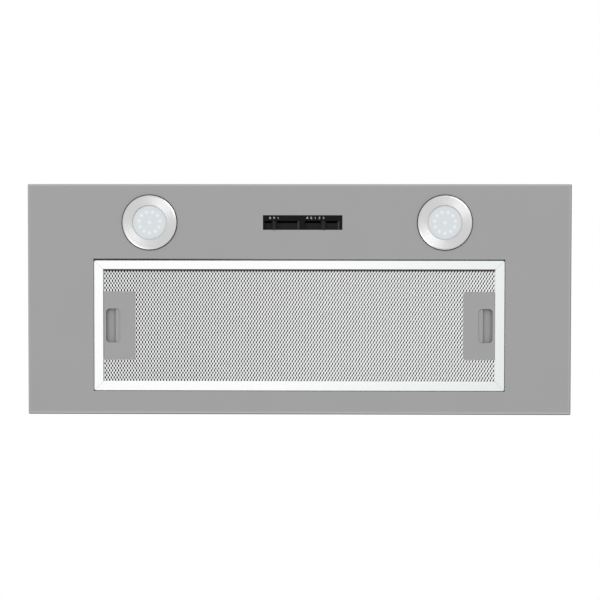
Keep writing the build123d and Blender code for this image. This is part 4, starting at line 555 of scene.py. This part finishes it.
# Frost: the distance to the nearest of the ring's spots, from the radius and the angle left over after
# whole steps, or to the middle one, whichever is less, gives a soft-edged mask of the spots. The radius
# gives the mask of the rim, and Etch is a fine noise over the whole disc.
frost, given, wanted = new_group(
    "lamp_frost",
    {"Vector": "Vector", "Out": "Vector"},
    {"Spot": "Float", "Rim": "Float", "Etch": "Float"},
)
place = axes(frost, given["Out"])
steps = maths(frost, "MULTIPLY", maths(frost, "ARCTAN2", place["X"], place["Y"]), SPOTS / (2 * pi))
left_over = maths(frost, "WRAP", steps, 0.5, -0.5)
beside = maths(frost, "MULTIPLY", left_over, SPOT_RING * 2 * pi / SPOTS)
radius = vectors(frost, "LENGTH", given["Out"])
inward = maths(frost, "SUBTRACT", radius, SPOT_RING)
to_ring = vectors(frost, "LENGTH", node(frost, "CombineXYZ", {"X": inward, "Y": beside}).outputs[0])
least = maths(frost, "MINIMUM", to_ring, radius)
etching = node(frost, "TexNoise", {"Vector": given["Vector"], "Scale": FROST_GRAINS_PER_METRE, "Detail": 1.0})
frost.links.new(ramp(frost, least, (0, SPOT_RADIUS), (1, 0), soft=True), wanted["Spot"])
frost.links.new(ramp(frost, radius, RIM_ENDS), wanted["Rim"])
frost.links.new(etching.outputs["Fac"], wanted["Etch"])
for side in ("left", "right"):
    name = side + "_lamp_lens"
    frosted, tree, here = new_material("frosted_" + name, Specular_IOR_Level=0.4)
    marks = node(tree, "Group", {"Vector": here, "Out": out_from(tree, here, name)}, node_tree=frost).outputs
    disc = between(tree, marks["Spot"], FROST, FROST_SPOT)
    feed(
        frosted,
        Base_Color=between(tree, marks["Rim"], disc, FROST_RIM),
        Roughness=ramp(tree, marks["Etch"], (0, 1), FROST_GLOSS),
        Normal=bumped(tree, marks["Etch"], FROST_DEPTH),
    )
    dress(frosted, name)

# Filter rails: four lengths of bright rolled aluminium channel, mitred at the corners. The flat shows
# downwards with faint rolling streaks and is painted darker to the right and back, a painted shade, and its
# inner edge is curled up to hold the mesh. The curls of the front and left rails are painted dark, a painted
# shade, and the mitres' tips are open.
RAIL_DARK = (0.935, 0.940, 0.940, 1)
RAIL_PALE = (0.975, 0.980, 0.980, 1)
RAIL_GLOSS = (0.30, 0.44)
STREAKS_PER_METRE = 30
STREAK_SHAPE = 40
STREAK_DEPTH = 3e-6
RAIL_SHADED = (0.792, 0.832, 0.818, 1)
RAIL_SHADE_WAY = (1, 0.4, 0)
RAIL_SHADE_ENDS = (0.02, 0.30)
RAIL_SEAM = (0.50, 0.51, 0.51, 1)
SEAM_HALF = 0.0005
RAIL_TIP = (0.03, 0.03, 0.03, 1)
TIP_ENDS = (0.0022, 0.0014)
CURL_SHADE = {
    "front": ("Y", (0.03, 0.22), (0.055, 0.055, 0.055, 1)),
    "left": ("X", (0.25, 0.60), (0.32, 0.32, 0.32, 1)),
}
filter_low, filter_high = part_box("filter_front_rail")[0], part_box("filter_back_rail")[1]
filter_middle, filter_half = (filter_low + filter_high) / 2, (filter_high - filter_low) / 2

# Rail marks: Streak is a noise that is drawn out along the rail, and the painted shade grows to the right and
# back.
# A point's distance in from the nearer side, less its distance in from the nearer long edge, is nought
# on the mitre lines, where Seam is 1. Their sum is least at the outer corners, where Tip is 1.
rolling, given, wanted = new_group(
    "rail_marks",
    {"Vector": "Vector", "Stretch": "Vector"},
    {"Streak": "Float", "Shade": "Float", "Seam": "Float", "Tip": "Float"},
)
drawn = vectors(rolling, "MULTIPLY", given["Vector"], given["Stretch"])
streaks = node(rolling, "TexNoise", {"Vector": drawn, "Scale": STREAKS_PER_METRE, "Detail": 3.0})
along = vectors(rolling, "DOT_PRODUCT", given["Vector"], RAIL_SHADE_WAY)
away = vectors(rolling, "ABSOLUTE", vectors(rolling, "SUBTRACT", given["Vector"], filter_middle))
inward = axes(rolling, vectors(rolling, "SUBTRACT", filter_half, away))
off_seam = maths(rolling, "ABSOLUTE", maths(rolling, "SUBTRACT", inward["X"], inward["Y"]))
from_corner = maths(rolling, "ADD", inward["X"], inward["Y"])
rolling.links.new(streaks.outputs["Fac"], wanted["Streak"])
rolling.links.new(ramp(rolling, along, RAIL_SHADE_ENDS), wanted["Shade"])
rolling.links.new(ramp(rolling, off_seam, (0, SEAM_HALF), (1, 0)), wanted["Seam"])
rolling.links.new(ramp(rolling, from_corner, TIP_ENDS), wanted["Tip"])
for side in ("left", "right", "front", "back"):
    rail, tree, here = new_material("rolled_" + side + "_rail", Metallic=0.4)
    short = side in ("left", "right")
    stretch = (STREAK_SHAPE, 1, STREAK_SHAPE) if short else (1, STREAK_SHAPE, STREAK_SHAPE)
    marks = node(tree, "Group", {"Vector": here, "Stretch": stretch}, node_tree=rolling).outputs
    skin = between(tree, marks["Streak"], RAIL_DARK, RAIL_PALE)
    # Painted shade: the rail darkens towards the right and back.
    skin = between(tree, marks["Shade"], skin, RAIL_SHADED)
    skin = between(tree, marks["Seam"], skin, RAIL_SEAM)
    skin = between(tree, marks["Tip"], skin, RAIL_TIP)
    # Painted shade: the curls of the front and left rails, turned away from the key, are painted dark.
    if side in CURL_SHADE:
        axis, turn, curl_shade_colour = CURL_SHADE[side]
        skin = between(tree, ramp(tree, facing(tree)[axis], turn), skin, curl_shade_colour)
    feed(
        rail,
        Base_Color=skin,
        Roughness=ramp(tree, marks["Streak"], (0, 1), RAIL_GLOSS),
        Normal=bumped(tree, marks["Streak"], STREAK_DEPTH),
    )
    dress(rail, "filter_" + side + "_rail")

# Front mesh: thin aluminium sheet, slit and pulled open into diamonds 3.9 by 6.1 mm. Its strands zigzag
# along the depth and meet at short bonds, its edges lie inside the rails, and two notches leave room for
# the latches. To the right it is drawn askew, and the first row behind the front rail is painted dark, a
# painted shadow of the rail.
MESH_DARK = (0.95, 0.96, 0.96, 1)
MESH_PALE = (0.98, 0.99, 0.99, 1)
MESH_SKIN = dict(gloss=(0.30, 0.46), fine=700, broad=25, depth=4e-6, Metallic=0.6)
MESH_SHADOW = (0.10, 0.10, 0.10, 1)
ROW_SHADOW_FROM = 0.0006
ROW_SHADOW_TO = 0.0024
MESH_INSET = 0.0085
NOTCH_REACH = 0.0532
NOTCH_HALF = 0.0304
BOND_LAP = 0.00002
FINE_STEP = 0.001935
FINE_DIAMOND = 0.0061
FINE_BOND = 0.0011
FINE_BAR = (0.00109, 0.00028)
FINE_FORM = (FINE_STEP, FINE_DIAMOND, FINE_BOND, FINE_BAR)
FINE_LEAST = 0.90
SKEW_MOST = 0.7
SKEW_ENDS = (-0.22, 0.04)


def strands(places, y_low, y_high, level, step, diamond, bond, bar, skew, share, lift):
    """Strands of expanded sheet. Strand k runs along Y at places[k] and goes from side to side by the
    amplitude that lets neighbours touch, holding each side for one bond; every other strand is mirrored.
    Its section is a flat bar, share(places[k]) of the full width; skew shifts a point's y by its place
    across the bar, and lift its z by its x."""
    periods = int(np.ceil((y_high - y_low) / diamond)) + 1
    first = np.floor(y_low / diamond) * diamond
    y = (first + diamond * np.arange(periods)[:, None] + [0, bond, diamond / 2, diamond / 2 + bond]).ravel()
    sway = np.tile([1.0, 1, -1, -1], periods)
    ends = np.array([y_low, y_high])
    sway_ends = np.interp(ends, y, sway)
    inside = (y > y_low) & (y < y_high)
    y = np.concatenate([ends[:1], y[inside], ends[1:]])
    sway = np.concatenate([sway_ends[:1], sway[inside], sway_ends[1:]])
    number = np.round(places / step).astype(int)
    width = bar[0] * share(places)
    reach = np.where(number % 2, -1, 1) * ((step - width) / 2 + BOND_LAP)
    across = np.array([-1, 1, 1, -1]) * width[:, None, None] / 2
    x = (places[:, None] + reach[:, None] * sway)[..., None] + across
    y = np.clip(y[:, None] + skew(places)[:, None, None] * across, y_low, y_high)
    z = level + np.array([-1, -1, 1, 1]) * bar[1] / 2 + lift(x)
    return tubes(np.stack([x, y, z], axis=-1))


def filter_layer(
    node_name, step, diamond, bond, bar, skew=np.zeros_like, share=np.ones_like, lift=np.zeros_like
):
    """One mesh layer at the middle of its CAD node, inside the rails and with notches round the latches."""
    outer = filter_high.x - MESH_INSET
    y_low, y_high = filter_low.y + MESH_INSET, filter_high.y - MESH_INSET
    most = int(outer / step)
    places = np.arange(-most, most + 1) * step
    beside = np.abs(places) > filter_high.x - NOTCH_REACH
    form = (middle(node_name).z, step, diamond, bond, bar, skew, share, lift)
    return join(
        strands(places[~beside], y_low, y_high, *form),
        strands(places[beside], y_low, filter_middle.y - NOTCH_HALF, *form),
        strands(places[beside], filter_middle.y + NOTCH_HALF, y_high, *form),
    )


def drawn_askew(x):
    """None at the left end, growing evenly to the most a little right of the middle."""
    return np.interp(x, SKEW_ENDS, [0, SKEW_MOST])


def drawn_thin(x):
    """The least width at the left end, growing evenly to the full one a little right of the middle."""
    return np.interp(x, SKEW_ENDS, [FINE_LEAST, 1])


mesh_metal = grained("mesh_aluminium", MESH_DARK, MESH_PALE, **MESH_SKIN)
tree, here, bright = opened(mesh_metal)
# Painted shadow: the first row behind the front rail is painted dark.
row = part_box("filter_front_rail")[1].y
row_shadow = ramp(tree, axes(tree, here)["Y"], (row + ROW_SHADOW_TO, row + ROW_SHADOW_FROM))
feed(mesh_metal, Base_Color=between(tree, row_shadow, bright, MESH_SHADOW))
layer = filter_layer("filter_mesh_front", *FINE_FORM, skew=drawn_askew, share=drawn_thin)
front_mesh = new_piece("fine_mesh_front", *layer, mesh_metal, "grease_filter", "filter_mesh")
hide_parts("filter_mesh_front")

# Core and back mesh: the same sheet pulled wider. The core is folded into pleats along the depth,
# so the air turns twice and leaves its grease; the back layer is flat and keeps the pleats in place.
# Both are painted nearly black, a painted shade deep inside the filter.
INNER_SHADE_DARK = (0.010, 0.010, 0.010, 1)
INNER_SHADE_PALE = (0.022, 0.022, 0.022, 1)
INNER_SKIN = dict(gloss=(0.45, 0.60), fine=500, broad=25, depth=6e-6, Metallic=0.9)
WIDE_STEP = 0.0030
WIDE_DIAMOND = 0.0096
WIDE_BOND = 0.0016
WIDE_BAR = (0.0019, 0.0004)
WIDE_FORM = (WIDE_STEP, WIDE_DIAMOND, WIDE_BOND, WIDE_BAR)
PLEAT = 0.012
# Painted shade: the inner layers are painted nearly black.
shaded_inner_metal = grained("inner_mesh_painted_shade", INNER_SHADE_DARK, INNER_SHADE_PALE, **INNER_SKIN)
low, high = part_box("filter_mesh_core")
fold = (high.z - low.z - WIDE_BAR[1]) / 2


def pleats(x):
    """A triangle wave of x: one fold up and one down in each pleat."""
    return fold * (4 * np.abs(x / PLEAT - np.floor(x / PLEAT + 0.5)) - 1)


layer = filter_layer("filter_mesh_core", *WIDE_FORM, lift=pleats)
core_mesh = new_piece("pleated_mesh_core", *layer, shaded_inner_metal, "grease_filter", "filter_mesh")
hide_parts("filter_mesh_core")
layer = filter_layer("filter_mesh_back", *WIDE_FORM)
back_mesh = new_piece("flat_mesh_back", *layer, shaded_inner_metal, "grease_filter", "filter_mesh")
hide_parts("filter_mesh_back")

# Latches: a grey ABS cover over a tray at each end of the filter, with a sliding bolt between them.
# A finger in the window pulls the bolt's grip inwards against a steel spring. The cup behind the
# window is painted a little darker towards its floor, and more so at its two ends, as painted shade in the
# recess.
GREY_DARK = (0.321, 0.321, 0.321, 1)
GREY_PALE = (0.337, 0.337, 0.337, 1)
GREY_CUP_SHADE = (0.315, 0.315, 0.315, 1)
GREY_END_SHADE = (0.200, 0.200, 0.200, 1)
GREY_SKIN = dict(gloss=(0.44, 0.54), fine=1500, broad=30, depth=5e-6)
CUP_FROM = 0.0004
CUP_TO = 0.0030
GRIP_BAR = 0.0105
CUP_WIDTH = 0.0127
OUTER_REACH = 0.0048
INNER_REACH = 0.0034
latch_grey = grained("latch_grey", GREY_DARK, GREY_PALE, **GREY_SKIN)
dress(latch_grey, "latch_covers", "latch_trays")
grip = grained("latch_grip", GREY_DARK, GREY_PALE, **GREY_SKIN)
tree, here, unshaded_grey = opened(grip)
place = axes(tree, here)
low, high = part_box("left_latch_bolt")
inner = GRIP_BAR - high.x
outer = inner + CUP_WIDTH
# Painted shade: the cup is painted darker towards its floor and its two ends.
away = maths(tree, "ABSOLUTE", place["X"])
at_outer = ramp(tree, away, (outer - OUTER_REACH, outer))
at_inner = ramp(tree, away, (inner + INNER_REACH, inner))
cup_end_shade = between(tree, greatest(tree, at_outer, at_inner), GREY_CUP_SHADE, GREY_END_SHADE)
cup_floor_shade = ramp(tree, place["Z"], (low.z + CUP_FROM, low.z + CUP_TO))
feed(grip, Base_Color=between(tree, cup_floor_shade, unshaded_grey, cup_end_shade))
dress(grip, "left_latch_bolt", "right_latch_bolt")
dress(spring_steel, "left_latch_spring", "right_latch_spring")

# Floor: a plain pale studio floor that the hood stands on, face down, and that fades into the white of
# the background further out. It is there for a camera above it, and lets the light and a camera
# below it through.
FLOOR_GAP = 0.0004
FLOOR_HALF = 12.0
FLOOR_PALE = (0.86, 0.86, 0.86, 1)
WHITE = (1, 1, 1, 1)
FADE_ENDS = (0.6, 2.6)
floor_level = cad_box[0].z - FLOOR_GAP
corners = np.array([(-1, -1, 0), (1, -1, 0), (1, 1, 0), (-1, 1, 0)]) * FLOOR_HALF + (0, 0, floor_level)
floor_mesh = bpy.data.meshes.new("studio_floor")
floor_mesh.from_pydata(corners.tolist(), [], [(0, 1, 2, 3)])
floor = bpy.data.objects.new("studio_floor", floor_mesh)
bpy.context.scene.collection.objects.link(floor)
floor_paint = bpy.data.materials.new("floor_paint")
floor_paint.use_nodes = True
tree = floor_paint.node_tree
tree.nodes.clear()
from_above = maths(tree, "SUBTRACT", 1.0, node(tree, "NewGeometry").outputs["Backfacing"])
seen = maths(tree, "MULTIPLY", from_above, node(tree, "LightPath").outputs["Is Camera Ray"])
faded = ramp(tree, vectors(tree, "LENGTH", node(tree, "TexCoord").outputs["Object"]), FADE_ENDS, soft=True)
clear = node(tree, "BsdfTransparent").outputs[0]
solid = node(tree, "BsdfDiffuse", {"Color": FLOOR_PALE}).outputs[0]
sweep = node(tree, "Emission", {"Color": WHITE, "Strength": 1.0}).outputs[0]
studio = node(tree, "MixShader", {0: faded, 1: solid, 2: sweep}).outputs[0]
surface = node(tree, "MixShader", {0: seen, 1: clear, 2: studio}).outputs[0]
node(tree, "OutputMaterial", {"Surface": surface})
floor_mesh.materials.append(floor_paint)

# World: plain white to the eye, in reflections and through clear things,
# and a soft even fill for all other light.
FILL = 0.80
world = bpy.data.worlds.new("studio")
bpy.context.scene.world = world
world.use_nodes = True
tree = world.node_tree
path = node(tree, "LightPath").outputs
white = greatest(tree, path["Is Camera Ray"], path["Is Glossy Ray"], path["Is Transmission Ray"])
background = tree.nodes["Background"]
background.inputs["Color"].default_value = WHITE
tree.links.new(ramp(tree, white, (0, 1), (FILL, 1)), background.inputs["Strength"])

# Lamps of the studio: a key from the front of the face, two soft strips across it that are flagged
# off all but the brushed bezels, and a key and a fill for the views from above.
BEZELS = ("left_lamp_bezel", "right_lamp_bezel")


def softbox(name, place, side, level, diffuse=True, glossy=True, only=()):
    """A square lamp that faces the hood, for diffuse light, reflections or both. A surface turned to it
    gets level times full light: a lamp of power P at distance d gives P / (pi d)^2. Where only names
    nodes, flags keep its light off all others."""
    lamp = bpy.data.lights.new(name, "AREA")
    lamp.shape = "SQUARE"
    lamp.size = side
    made = bpy.data.objects.new(name, lamp)
    made.location = place
    towards = -Vector(place)
    made.rotation_euler = towards.to_track_quat("-Z", "Y").to_euler()
    lamp.energy = level * (pi * towards.length) ** 2
    made.visible_camera = False
    made.visible_diffuse = diffuse
    made.visible_glossy = glossy
    bpy.context.scene.collection.objects.link(made)
    if only:
        lit = bpy.data.collections.new(name + "_reaches")
        for piece in only:
            lit.objects.link(frame["nodes"][piece])
        made.light_linking.receiver_collection = lit


softbox("face_key", place=(-0.8, -3.2, -4.6), side=2.2, level=0.29, glossy=False)
softbox("face_strip_low", place=(-2.2, 2.2, -3.0), side=2.6, level=0.32, diffuse=False, only=BEZELS)
softbox("face_strip_high", place=(2.2, -2.2, -3.0), side=2.6, level=0.34, diffuse=False, only=BEZELS)
softbox("top_key", place=(-1.2, -1.6, 2.2), side=3.0, level=0.34)
softbox("top_fill", place=(1.8, 1.4, 1.6), side=3.0, level=0.16)

# Camera: two metres below the face and a little to the front and right of its middle, looking up,
# with the near edge of the hood at the top of the picture. The turn is in degrees.
CAMERA_PLACE = (0.02936, -0.06096, -2.0)
CAMERA_TURN = (178.2265, -0.8103, -0.0554)
CAMERA_LENS = 92.65
view = bpy.data.cameras.new("photo_camera")
view.lens = CAMERA_LENS
camera = bpy.data.objects.new("photo_camera", view)
camera.location = CAMERA_PLACE
camera.rotation_euler = [radians(turn) for turn in CAMERA_TURN]
bpy.context.scene.collection.objects.link(camera)
bpy.context.scene.camera = camera
bpy.context.scene.view_settings.view_transform = "Standard"
